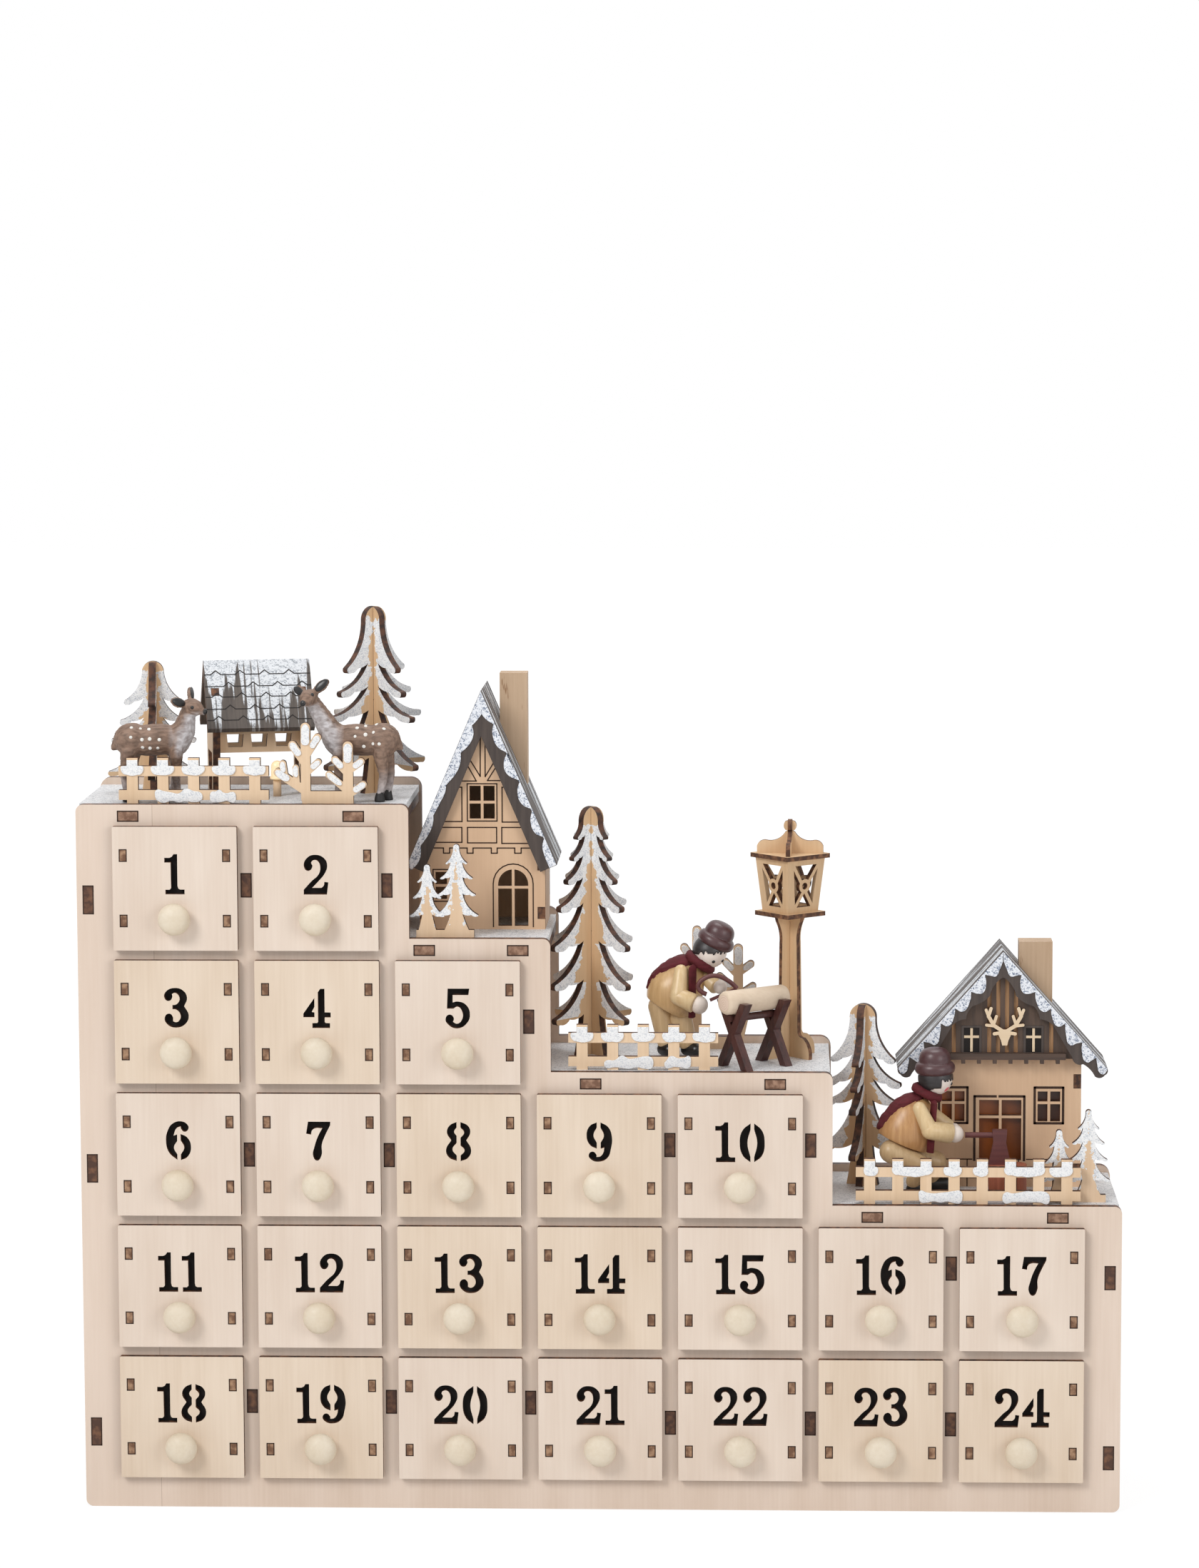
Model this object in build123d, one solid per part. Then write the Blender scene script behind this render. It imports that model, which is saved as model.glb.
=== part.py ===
from build123d import *
import os
from math import atan2, cos, degrees, hypot, radians, sin, sqrt, tan

# Wooden advent calendar: a stepped plywood cabinet of twenty-four drawers with a snowy village on its decks.
# Millimetres. The front faces -Y, the cabinet stands on Z = 0 and the origin is the middle of its footprint.

# Sheet stock and fits
PLY = 4.0
THIN_PLY = 3.0
DRAWER_PLY = 2.5
SNOW_BOARD = 2.7
JOINT_CLEARANCE = 0.15
RUN_CLEARANCE = 0.4

# Drawer faces, their grid and the margins round it
FACE = 50.0
FACE_RADIUS = 1.0
FACE_GAP = 0.5
COLUMN_PITCH = 56.5
ROW_PITCH = 54.0
SIDE_MARGIN = 15.0
BOTTOM_MARGIN = 13.0
TOP_MARGIN = 8.5
STEP_MARGIN = 12.0
ROW_COLUMNS = (2, 3, 5, 7, 7)

# Drawer boxes
BOX_INSET = 3.0
DRAWER_LENGTH = 50.0
DRAWER_TAB = 4.4
DRAWER_TAB_DROPS = (11.6, 38.0)
KNOB_DROP = 36.8
KNOB_DIAMETER = 13.0
KNOB_HEIGHT = 8.6
KNOB_NECK = 8.4
KNOB_NECK_HEIGHT = 1.6
KNOB_PEG = 4.0

# Cabinet carcase
INNER_DEPTH = 67.0
WIRE_SPACE = 16.0
WIRE_HOLE = 9.0
SIDE_INSET = 2.6
DECK_INSET = 1.0
BACK_RISE = 3.0
PANEL_RADIUS = 3.0
BACK_RADIUS = 4.5
TAB = 9.4
LEFT_TAB = 11.2
DECK_TAB = 8.2

# Heights of tab centres above the bottom of the drawer face in a row, as (row, height), for each upright
LEFT_TABS = ((0, 20.0), (2, 18.6), (4, 18.0))
RIGHT_TABS = ((3, 29.4), (4, 9.4))
DIVIDER_TABS = {
    1: ((0, 26.0), (2, 24.5), (4, 31.0)),
    2: ((0, 26.0), (2, 24.5), (4, 31.0)),
    3: ((1, 25.0), (4, 31.0)),
    4: ((2, 29.0), (4, 23.0)),
    5: ((2, 29.0), (4, 23.0)),
    6: ((3, 33.0), (4, 23.0)),
}
# Deck tabs, in from the left and right ends of each step
DECK_TAB_INSETS = ((21.0, 22.0), (6.0, 13.0), (16.0, 23.0), (16.0, 25.7))

# Battery case in the back panel
CASE_WIDTH = 64.0
CASE_HEIGHT = 28.0
CASE_DEPTH = 15.0
CASE_WALL = 1.5
CASE_FLANGE = 2.5
CASE_RISE = 44.0
CELL_BAY = 49.0
SWITCH_TRAVEL = 4.0
SWITCH_KNOB = 4.5
SWITCH_HEIGHT = 3.2
SWITCH_PROUD = 1.2

# Derived layout
BOX = FACE - 2 * BOX_INSET
COLUMNS = ROW_COLUMNS[-1]
ROWS = len(ROW_COLUMNS)
WIDTH = 2 * SIDE_MARGIN + (COLUMNS - 1) * COLUMN_PITCH + FACE
DEPTH = 2 * PLY + INNER_DEPTH
LEFT = -WIDTH / 2
RIGHT = WIDTH / 2
FRONT = -DEPTH / 2
BACK = DEPTH / 2
INNER_FRONT = FRONT + PLY
INNER_BACK = BACK - PLY
CELL_BACK = INNER_BACK - WIRE_SPACE
STEPS = 4


def face_left(column):
    return LEFT + SIDE_MARGIN + column * COLUMN_PITCH


def face_bottom(row):
    return BOTTOM_MARGIN + (ROWS - 1 - row) * ROW_PITCH


def shelf_top(row):
    return face_bottom(row) + BOX_INSET - RUN_CLEARANCE


def divider_x(number):
    """Middle of the upright between drawer columns number and number + 1, counted from one."""
    return face_left(number) - (COLUMN_PITCH - FACE) / 2


def step_right(step):
    if step == STEPS - 1:
        return RIGHT
    return face_left(ROW_COLUMNS[step] - 1) + FACE + STEP_MARGIN


def step_left(step):
    return LEFT if step == 0 else step_right(step - 1)


def deck_top(step):
    return face_bottom(step) + FACE + TOP_MARGIN


def step_over(number):
    """The step whose deck covers an upright."""
    return next(step for step in range(STEPS) if ROW_COLUMNS[step] >= number)


LEFT_BOARD = LEFT + SIDE_INSET + PLY / 2
RIGHT_BOARD = RIGHT - SIDE_INSET - PLY / 2


# Building blocks
def rect(x0, y0, x1, y1):
    return Pos((x0 + x1) / 2, (y0 + y1) / 2) * Rectangle(abs(x1 - x0), abs(y1 - y0))


def facing_plate(sketch, front, thickness):
    """A plate that faces -Y, from a sketch of X and Z."""
    return extrude(Plane.XZ.offset(-front - thickness) * sketch, amount=thickness, dir=(0, -1, 0))


def side_plate(sketch, left, thickness):
    """A plate that faces X, from a sketch of Y and Z."""
    return extrude(Plane.YZ.offset(left) * sketch, amount=thickness, dir=(1, 0, 0))


def flat_plate(sketch, bottom, thickness):
    return extrude(Plane.XY.offset(bottom) * sketch, amount=thickness, dir=(0, 0, 1))


def cutout(sketch, thickness=THIN_PLY):
    """A standing plate centred on Y = 0."""
    return facing_plate(sketch, -thickness / 2, thickness)


def limb(start, end, start_radius, end_radius):
    """A tapered round limb with ball ends."""
    start, end = Vector(*start), Vector(*end)
    length = (end - start).length
    if abs(start_radius - end_radius) < 0.01:
        shaft = Cylinder(start_radius, length)
    else:
        shaft = Cone(start_radius, end_radius, length)
    form = Pos(0, 0, length / 2) * shaft + Sphere(start_radius) + Pos(0, 0, length) * Sphere(end_radius)
    return Plane(origin=start, z_dir=end - start) * form


def egg(centre, axis, half_length, radius):
    """A body turned about an axis."""
    arc = EllipticalCenterArc((0, 0), radius, half_length, start_angle=-90, arc_size=180)
    turned = revolve(make_face(arc + Line((0, half_length), (0, -half_length))), Axis.Y)
    return Plane(origin=centre, z_dir=axis) * Rot(90, 0, 0) * turned


def glued(*pieces):
    """Separate pieces, each trimmed where it is seated on those before it."""
    seated = []
    for piece in pieces:
        for other in seated:
            piece = piece - other
        seated.append(piece)
    return seated


def save(name, *pieces):
    solids = [solid for piece in pieces for solid in piece.solids()]
    export_step(Compound(solids), f"parts/{name}.step")


os.makedirs("parts", exist_ok=True)


# Front and back panels
def stepped_outline(rise, radius):
    points = [(LEFT, 0), (RIGHT, 0)]
    for step in reversed(range(STEPS)):
        points += [(step_right(step), deck_top(step) + rise), (step_left(step), deck_top(step) + rise)]
    face = make_face(Polyline(*points, close=True))
    outer = {(LEFT, 0), (RIGHT, 0), (LEFT, deck_top(0) + rise)}
    outer |= {(step_right(step), deck_top(step) + rise) for step in range(STEPS)}
    convex = [v for v in face.vertices() if min(hypot(v.X - x, v.Y - z) for x, z in outer) < 0.001]
    return fillet(convex, radius)


def upright_tabs():
    """Centre x, centre z and length of every upright's tab."""
    tabs = [(LEFT_BOARD, face_bottom(row) + rise, LEFT_TAB) for row, rise in LEFT_TABS]
    tabs += [(RIGHT_BOARD, face_bottom(row) + rise, TAB) for row, rise in RIGHT_TABS]
    for number, places in DIVIDER_TABS.items():
        tabs += [(divider_x(number), face_bottom(row) + rise, TAB) for row, rise in places]
    return tabs


def deck_tab_centres(step):
    left_in, right_in = DECK_TAB_INSETS[step]
    return step_left(step) + left_in, step_right(step) - right_in


def deck_board_bottom(step):
    return deck_top(step) - SNOW_BOARD - PLY


def slot(x, z, width, height):
    return Pos(x, z) * Rectangle(width + 2 * JOINT_CLEARANCE, height + 2 * JOINT_CLEARANCE)


def reaches_back(x):
    """Only the sides and the step risers reach the back panel."""
    risers = [divider_x(number) for number in ROW_COLUMNS[:3]]
    return any(abs(x - place) < 0.001 for place in [LEFT_BOARD, RIGHT_BOARD, *risers])


deck_slots = [
    slot(x, deck_board_bottom(step) + PLY / 2, DECK_TAB, PLY)
    for step in range(STEPS)
    for x in deck_tab_centres(step)
]
front_slots = [slot(x, z, PLY, length) for x, z, length in upright_tabs()]
back_slots = [slot(x, z, PLY, length) for x, z, length in upright_tabs() if reaches_back(x)]
drawer_openings = [
    rect(
        face_left(column) + BOX_INSET - RUN_CLEARANCE,
        shelf_top(row),
        face_left(column) + FACE - BOX_INSET + RUN_CLEARANCE,
        face_bottom(row) + BOX_INSET + BOX + RUN_CLEARANCE,
    )
    for row, columns in enumerate(ROW_COLUMNS)
    for column in range(columns)
]
front_sheet = stepped_outline(0, PANEL_RADIUS) - drawer_openings - front_slots - deck_slots
save("front_panel", facing_plate(front_sheet, FRONT, PLY))

CASE_X = divider_x(4)
case_hole = Pos(CASE_X, CASE_RISE) * Rectangle(
    CASE_WIDTH + 2 * JOINT_CLEARANCE, CASE_HEIGHT + 2 * JOINT_CLEARANCE
)
back_sheet = stepped_outline(BACK_RISE, BACK_RADIUS) - back_slots - deck_slots - case_hole
save("back_panel", facing_plate(back_sheet, INNER_BACK, PLY))


# Uprights: two sides and six dividers, tabbed into the panels and half-lapped with the shelves
def upright(x, bottom, step, back, tabs, length, shelf_rows, full_depth):
    sketch = rect(INNER_FRONT, bottom, back, deck_board_bottom(step))
    for row, rise in tabs:
        middle = face_bottom(row) + rise
        sketch += rect(FRONT, middle - length / 2, INNER_FRONT, middle + length / 2)
        if full_depth:
            sketch += rect(back, middle - length / 2, BACK, middle + length / 2)
    lap = (INNER_FRONT + CELL_BACK) / 2 + JOINT_CLEARANCE
    for row in shelf_rows:
        top = shelf_top(row)
        sketch -= rect(INNER_FRONT, top - PLY - JOINT_CLEARANCE, lap, top + JOINT_CLEARANCE)
        if full_depth:
            sketch -= Pos((CELL_BACK + INNER_BACK) / 2, top + WIRE_HOLE) * Circle(WIRE_HOLE / 2)
    return side_plate(sketch, x - PLY / 2, PLY)


left_side = upright(LEFT_BOARD, 0, 0, INNER_BACK, LEFT_TABS, LEFT_TAB, (), True)
right_side = upright(RIGHT_BOARD, 0, STEPS - 1, INNER_BACK, RIGHT_TABS, TAB, (), True)
save("side_panels", left_side, right_side)

dividers = []
for number, tabs in DIVIDER_TABS.items():
    riser = number in ROW_COLUMNS
    crossed = [row for row, columns in enumerate(ROW_COLUMNS) if columns > number]
    rear = INNER_BACK if riser else CELL_BACK
    dividers.append(upright(divider_x(number), PLY, step_over(number), rear, tabs, TAB, crossed, riser))
save("column_dividers", *dividers)


# Shelves, base and decks
def shelf(row):
    columns = ROW_COLUMNS[row]
    end = RIGHT_BOARD if columns == COLUMNS else divider_x(columns)
    sketch = rect(LEFT_BOARD + PLY / 2, INNER_FRONT, end - PLY / 2, CELL_BACK)
    lap = (INNER_FRONT + CELL_BACK) / 2 - JOINT_CLEARANCE
    for number in range(1, columns):
        x = divider_x(number)
        half = PLY / 2 + JOINT_CLEARANCE
        sketch -= rect(x - half, lap, x + half, CELL_BACK)
    return flat_plate(sketch, shelf_top(row) - PLY, PLY)


save("row_shelves", *[shelf(row) for row in range(ROWS)])
base_sheet = rect(LEFT_BOARD + PLY / 2, INNER_FRONT, RIGHT_BOARD - PLY / 2, INNER_BACK)
save("base_panel", flat_plate(base_sheet, 0, PLY))


def deck_sheet(step):
    left = LEFT + DECK_INSET if step == 0 else divider_x(ROW_COLUMNS[step - 1]) + PLY / 2
    return rect(left, INNER_FRONT, step_right(step) - DECK_INSET, INNER_BACK)


def deck_board(step):
    sketch = deck_sheet(step)
    for x in deck_tab_centres(step):
        sketch += rect(x - DECK_TAB / 2, FRONT, x + DECK_TAB / 2, BACK)
    return flat_plate(sketch, deck_board_bottom(step), PLY)


save("deck_boards", *[deck_board(step) for step in range(STEPS)])
snow_boards = [flat_plate(deck_sheet(step), deck_top(step) - SNOW_BOARD, SNOW_BOARD) for step in range(STEPS)]
save("snow_boards", *snow_boards)


# Drawers: local origin at the bottom middle of the face, on its back plane
def drawer_face():
    sketch = Pos(0, FACE / 2) * RectangleRounded(FACE, FACE, FACE_RADIUS)
    side_middle = BOX / 2 - DRAWER_PLY / 2
    for drop in DRAWER_TAB_DROPS:
        for side in (-1, 1):
            sketch -= slot(side * side_middle, FACE - drop, DRAWER_PLY, DRAWER_TAB)
    sketch -= Pos(0, FACE - KNOB_DROP) * Circle(KNOB_PEG / 2 + JOINT_CLEARANCE)
    return facing_plate(sketch, -THIN_PLY, THIN_PLY)


def drawer_side(side):
    sketch = rect(0, BOX_INSET, DRAWER_LENGTH, BOX_INSET + BOX)
    for drop in DRAWER_TAB_DROPS:
        middle = FACE - drop
        sketch += rect(-THIN_PLY, middle - DRAWER_TAB / 2, 0, middle + DRAWER_TAB / 2)
    outer = BOX / 2 - DRAWER_PLY
    return side_plate(sketch, outer if side > 0 else -BOX / 2, DRAWER_PLY)


def drawer_knob():
    """A turned knob: peg, neck, flare and low dome."""
    rim = KNOB_DIAMETER / 2
    rim_height = KNOB_NECK_HEIGHT + (rim - KNOB_NECK / 2)
    rise = KNOB_HEIGHT - rim_height
    radius = (rim**2 + rise**2) / (2 * rise)
    half_angle = atan2(rim, radius - rise) / 2
    dome_side = (radius * sin(half_angle), KNOB_HEIGHT - radius * (1 - cos(half_angle)))
    corners = [(0, KNOB_HEIGHT), (0, -THIN_PLY), (KNOB_PEG / 2, -THIN_PLY), (KNOB_PEG / 2, 0)]
    corners += [(KNOB_NECK / 2, 0), (KNOB_NECK / 2, KNOB_NECK_HEIGHT), (rim, rim_height)]
    dome = ThreePointArc((rim, rim_height), dome_side, (0, KNOB_HEIGHT))
    turned = revolve(make_face([*Polyline(*corners).edges(), dome]), Axis.Y)
    return Pos(0, -THIN_PLY, FACE - KNOB_DROP) * Rot(180, 0, 0) * turned


inner_width = BOX - 2 * DRAWER_PLY
back_sketch = rect(-inner_width / 2, BOX_INSET, inner_width / 2, BOX_INSET + BOX)
bottom_sketch = rect(-inner_width / 2, 0, inner_width / 2, DRAWER_LENGTH - DRAWER_PLY)
drawer = [
    drawer_face(),
    drawer_side(-1),
    drawer_side(1),
    facing_plate(back_sketch, DRAWER_LENGTH - DRAWER_PLY, DRAWER_PLY),
    flat_plate(bottom_sketch, BOX_INSET, DRAWER_PLY),
    drawer_knob(),
]
day = 0
for row, columns in enumerate(ROW_COLUMNS):
    for column in range(columns):
        day += 1
        place = Pos(face_left(column) + FACE / 2, FRONT - FACE_GAP, face_bottom(row))
        save(f"drawer_{day:02d}", *[place * piece for piece in drawer])


# Battery case let into the back panel, with its cover and slide switch
case_middle = Pos(CASE_X, 0, CASE_RISE)
case_front = INNER_BACK + PLY - CASE_DEPTH
bay_left = -CASE_WIDTH / 2 + CASE_WALL
bay_right = bay_left + CELL_BAY
switch_left = bay_right + CASE_WALL
switch_right = CASE_WIDTH / 2 - CASE_WALL
bay_half = CASE_HEIGHT / 2 - CASE_WALL
case_block = facing_plate(Rectangle(CASE_WIDTH, CASE_HEIGHT), case_front, CASE_DEPTH)
flange_sheet = RectangleRounded(CASE_WIDTH + 2 * CASE_FLANGE, CASE_HEIGHT + 2 * CASE_FLANGE, CASE_FLANGE)
case_block += facing_plate(flange_sheet, BACK, CASE_WALL)
case_block -= facing_plate(rect(bay_left, -bay_half, bay_right, bay_half), case_front + CASE_WALL, CASE_DEPTH)
switch_bay = rect(switch_left, -bay_half, switch_right, bay_half)
case_block -= facing_plate(switch_bay, case_front + CASE_WALL, CASE_DEPTH - CASE_WALL)
switch_middle = (switch_left + switch_right) / 2
switch_slot = Pos(switch_middle, 0) * Rectangle(
    SWITCH_HEIGHT + 2 * RUN_CLEARANCE, SWITCH_KNOB + SWITCH_TRAVEL + 2 * RUN_CLEARANCE
)
case_block -= facing_plate(switch_slot, BACK, CASE_WALL)
save("battery_case", case_middle * case_block)

cover_half = bay_half - JOINT_CLEARANCE
cover_sheet = rect(bay_left + JOINT_CLEARANCE, -cover_half, bay_right - JOINT_CLEARANCE, cover_half)
save("battery_cover", case_middle * facing_plate(cover_sheet, BACK, CASE_WALL))

slider_z = -SWITCH_TRAVEL / 2
slider_knob = Pos(switch_middle, slider_z) * Rectangle(SWITCH_HEIGHT, SWITCH_KNOB)
slider_foot = Pos(switch_middle, slider_z) * Rectangle(
    switch_right - switch_left - 2 * RUN_CLEARANCE, SWITCH_KNOB + 2 * CASE_WALL
)
slider = facing_plate(slider_knob, BACK, CASE_WALL + SWITCH_PROUD)
slider += facing_plate(slider_foot, BACK - RUN_CLEARANCE - CASE_WALL, CASE_WALL)
slider += facing_plate(slider_knob, BACK - RUN_CLEARANCE, RUN_CLEARANCE)
save("switch_slider", case_middle * slider)


# Spruces: two plates of one outline, cross-lapped at half height
def spruce_outline(height, tips, crown, root, lift, lobe, trunk):
    """Half the outline from the rounded top down the drooping tiers, mirrored.

    tips gives each tier's reach and its drop as a share of the height. The notches between tiers end at root,
    lift above the tip, each tier has two lobes below, and the trunk flares to its foot."""
    start = (crown, height - crown)
    edges = [ThreePointArc((0, height), (crown * sqrt(0.5), height - crown * (1 - sqrt(0.5))), start)]
    for reach, drop in tips:
        nose, hang = min(0.35 * crown, 0.12 * reach), min(lobe, 0.045 * reach)
        tip = (reach, height * (1 - drop))
        run, fall = tip[0] - start[0], start[1] - tip[1]
        sag = (start[0] + run / 2 - 0.12 * fall, tip[1] + fall / 2 - 0.12 * run)
        under = (reach - 0.9 * nose, tip[1] - 1.2 * nose)
        notch = (min(root, 0.55 * reach), tip[1] + lift)
        split = (under[0] + 0.4 * (notch[0] - under[0]), under[1] + 0.4 * (notch[1] - under[1]) + hang / 2)
        outer = ((under[0] + split[0]) / 2, (under[1] + split[1]) / 2 - hang)
        inner = ((split[0] + notch[0]) / 2, (split[1] + notch[1]) / 2 - hang)
        edges += [
            ThreePointArc(start, sag, tip),
            ThreePointArc(tip, (reach + 0.15 * nose, tip[1] - 0.75 * nose), under),
            ThreePointArc(under, outer, split),
            ThreePointArc(split, inner, notch),
        ]
        start = notch
    knee = ((start[0] + trunk) / 2 - 0.1 * (trunk - start[0]), start[1] / 2)
    edges += [ThreePointArc(start, knee, (trunk, 0)), Line((trunk, 0), (0, 0)), Line((0, 0), (0, height))]
    half = make_face(edges)
    return half + mirror(half, about=Plane.YZ)


def spruce(height, *form):
    outline = spruce_outline(height, *form)
    half = THIN_PLY / 2 + JOINT_CLEARANCE
    lower = outline - rect(-half, 0, half, height / 2 + JOINT_CLEARANCE)
    upper = outline - rect(-half, height / 2 - JOINT_CLEARANCE, half, height)
    return [cutout(lower), Rot(0, 0, 90) * cutout(upper)]


def on_deck(step, x, y, turn=0):
    """A place on a deck, x from the step's left end and y from the cabinet's front."""
    return Pos(step_left(step) + x, FRONT + y, deck_top(step)) * Rot(0, 0, turn)


SMALL_TIPS = ((11.7, 0.30), (13.5, 0.45), (17.0, 0.59), (18.5, 0.84))
small_spruce = spruce(53.7, SMALL_TIPS, 4.4, 3.8, 1.2, 0.5, 5.0)
save("small_spruce", *[on_deck(0, 26.0, 45.0, 4.0) * plate for plate in small_spruce])
TALL_TIPS = ((14.9, 0.32), (18.2, 0.445), (23.6, 0.575), (25.5, 0.83))
tall_spruce = spruce(76.2, TALL_TIPS, 5.4, 4.2, 1.6, 0.7, 6.6)
save("tall_spruce", *[on_deck(0, 116.5, 44.0, 45.0) * plate for plate in tall_spruce])
MIDDLE_TIPS = (
    (8.5, 0.116), (10.7, 0.197), (13.9, 0.285), (17.9, 0.39), (21.3, 0.544), (21.5, 0.70), (20.6, 0.84),
)
middle_spruce = spruce(102.2, MIDDLE_TIPS, 5.6, 5.8, 0.8, 0.9, 8.6)
save("middle_spruce", *[on_deck(2, 14.8, 45.0, 45.0) * plate for plate in middle_spruce])
LOW_TIPS = ((13.2, 0.30), (15.6, 0.43), (18.0, 0.55), (18.5, 0.80))
low_spruce = spruce(75.0, LOW_TIPS, 5.4, 4.2, 1.6, 0.7, 6.6)
save("low_spruce", *[on_deck(3, 13.0, 45.0, -15.0) * plate for plate in low_spruce])


# Flat cut-outs: picket fences, shrubs and twin spruces
PICKET = 4.5
RAIL = 4.0
FENCE_HEIGHT = 18.3
RAIL_LEVELS = (1.4, 11.0)
RAIL_END = 3.3


def fence(pickets, pitch):
    """A fence cut from one plate, its left end at x = 0."""
    length = (pickets - 1) * pitch + PICKET + 2 * RAIL_END
    sketch = rect(0, RAIL_LEVELS[0], length, RAIL_LEVELS[0] + RAIL)
    sketch += rect(0, RAIL_LEVELS[1], length, RAIL_LEVELS[1] + RAIL)
    for picket in range(pickets):
        left = RAIL_END + picket * pitch
        sketch += rect(left, 0, left + PICKET, FENCE_HEIGHT)
    return cutout(sketch)


save(
    "picket_fences",
    on_deck(0, 17.0, PLY + THIN_PLY / 2) * fence(5, 12.3),
    on_deck(2, 6.8, PLY + 2 + THIN_PLY / 2) * fence(5, 12.3),
    on_deck(3, 9.4, PLY + THIN_PLY / 2) * fence(8, 11.3),
)

# Twigs of the bare shrub: start, end and width of each
SHRUB_TWIGS = (
    ((-8.8, 2.0), (-8.8, 30.6), 3.8),
    ((8.2, 2.0), (8.2, 23.0), 4.0),
    ((-8.8, 16.0), (-14.0, 23.5), 3.4),
    ((-8.8, 19.0), (-4.0, 26.5), 3.2),
    ((-8.8, 12.0), (-3.8, 16.6), 2.8),
    ((-8.8, 5.0), (-20.0, 12.5), 3.4),
    ((-17.2, 10.6), (-18.0, 16.0), 2.8),
    ((-12.4, 8.0), (-12.8, 14.4), 2.6),
    ((8.2, 12.0), (3.0, 17.6), 3.0),
    ((8.2, 13.0), (13.4, 16.8), 3.0),
    ((8.2, 5.0), (0.6, 11.6), 3.0),
    ((8.2, 3.5), (14.2, 7.6), 3.0),
)
SHRUB_BASE = (20.6, 5.0)


def twig(start, end, width):
    run, rise = end[0] - start[0], end[1] - start[1]
    middle = Pos((start[0] + end[0]) / 2, (start[1] + end[1]) / 2)
    return middle * Rot(0, 0, degrees(atan2(rise, run))) * SlotCenterToCenter(hypot(run, rise), width)


def shrub():
    width, height = SHRUB_BASE
    ground = rect(-60, -10, 60, 0)
    sketch = rect(-width / 2, 0, width / 2, height) + [twig(*place) for place in SHRUB_TWIGS]
    return cutout(sketch - ground)


save(
    "shrubs",
    on_deck(0, 101.0, PLY + THIN_PLY / 2) * shrub(),
    on_deck(2, 66.5, 58.0) * mirror(shrub(), about=Plane.YZ),
)


TWIN_TIPS = (
    ((4.2, 0.20), (6.4, 0.36), (7.6, 0.54), (8.6, 0.76)),
    ((3.8, 0.23), (5.6, 0.45), (6.8, 0.70)),
)


def twin_spruce():
    """A tall and a low spruce cut from one plate."""
    tall = Pos(5.2, 0) * spruce_outline(37.6, TWIN_TIPS[0], 1.2, 2.4, 0.4, 0.4, 6.6)
    low = Pos(-6.6, 0) * spruce_outline(29.4, TWIN_TIPS[1], 1.2, 2.0, 0.4, 0.35, 4.6)
    return cutout(tall + low + rect(-11.0, 0, 12.2, 3.0))


save(
    "twin_spruces",
    on_deck(1, 13.6, PLY + THIN_PLY / 2) * twin_spruce(),
    on_deck(3, 97.8, 2 * PLY + 1 + THIN_PLY / 2) * twin_spruce(),
)


# Gabled huts share their roof and wall geometry. Local origin: base middle on the front wall's front face.
def slope_board(ridge, run, angle, front, depth, side):
    """One roof board, its outer face from the ridge down to the eave at x = run."""
    eave = (run, ridge - run * tan(angle))
    inner_eave = (run - THIN_PLY * sin(angle), eave[1] - THIN_PLY * cos(angle))
    inner_ridge = (0, ridge - THIN_PLY / cos(angle))
    section = make_face(Polyline((0, ridge), eave, inner_eave, inner_ridge, close=True))
    board = facing_plate(section, front, depth)
    return board if side > 0 else mirror(board, about=Plane.YZ)


def gable_outline(width, ridge, angle):
    """A wall up to the underside of the roof boards."""
    apex = ridge - THIN_PLY / cos(angle)
    half = width / 2
    shoulder = apex - half * tan(angle)
    corners = [(-half, 0), (half, 0), (half, shoulder), (0, apex), (-half, shoulder)]
    return make_face(Polyline(*corners, close=True))


def side_wall(width, depth, height, tabs, side):
    """A wall between the gable walls, its tabs through notches in both."""
    sketch = rect(THIN_PLY, 0, depth - THIN_PLY, height)
    for low, high in tabs:
        sketch += rect(0, low, depth, high)
    return side_plate(sketch, width / 2 - THIN_PLY if side > 0 else -width / 2, THIN_PLY)


def wall_notches(width, tabs):
    half, inner = width / 2, width / 2 - THIN_PLY - JOINT_CLEARANCE
    notches = []
    for low, high in tabs:
        low, high = low - JOINT_CLEARANCE, high + JOINT_CLEARANCE
        notches += [rect(inner, low, half, high), rect(-half, low, -inner, high)]
    return notches


def panes(left, bottom, right, top, bar, split):
    """Four window panes between a crossed pair of bars, split at a share of the height."""
    middle, level = (left + right) / 2, bottom + split * (top - bottom)
    columns = ((left, middle - bar / 2), (middle + bar / 2, right))
    rows = ((bottom, level - bar / 2), (level + bar / 2, top))
    return [rect(x0, z0, x1, z1) for x0, x1 in columns for z0, z1 in rows]


# Half-timbered house on the second deck
HOUSE_WIDTH = 51.0
HOUSE_DEPTH = 39.0
HOUSE_RIDGE = 97.6
HOUSE_RUN = 30.4
HOUSE_ANGLE = radians(66.8)
HOUSE_TABS = ((4.4, 9.0), (24.2, 28.8))
HOUSE_FASCIA = 7.3
ROOF_OVERHANG = 2.0
HOUSE_FRONT = 27.0
WINDOW_BAR = 1.1


def arched_window():
    left, right, sill, spring, bar_level = 6.4, 18.6, 1.4, 18.4, 17.2
    middle = (left + right) / 2
    light = rect(left, sill, right, spring) + Pos(middle, spring) * Circle((right - left) / 2)
    light -= rect(middle - WINDOW_BAR / 2, 0, middle + WINDOW_BAR / 2, HOUSE_RIDGE)
    return light - rect(left, bar_level - WINDOW_BAR / 2, right, bar_level + WINDOW_BAR / 2)


def chevron(ridge, run, angle, width):
    """A pair of fascia boards in one piece, its outer edge along the roof."""
    eave = ridge - run * tan(angle)
    inset = width / cos(angle)
    lower = (run - width * sin(angle), eave - width * cos(angle))
    points = [(0, ridge), (run, eave), lower, (0, ridge - inset), (-lower[0], lower[1]), (-run, eave)]
    return make_face(Polyline(*points, close=True))


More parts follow.
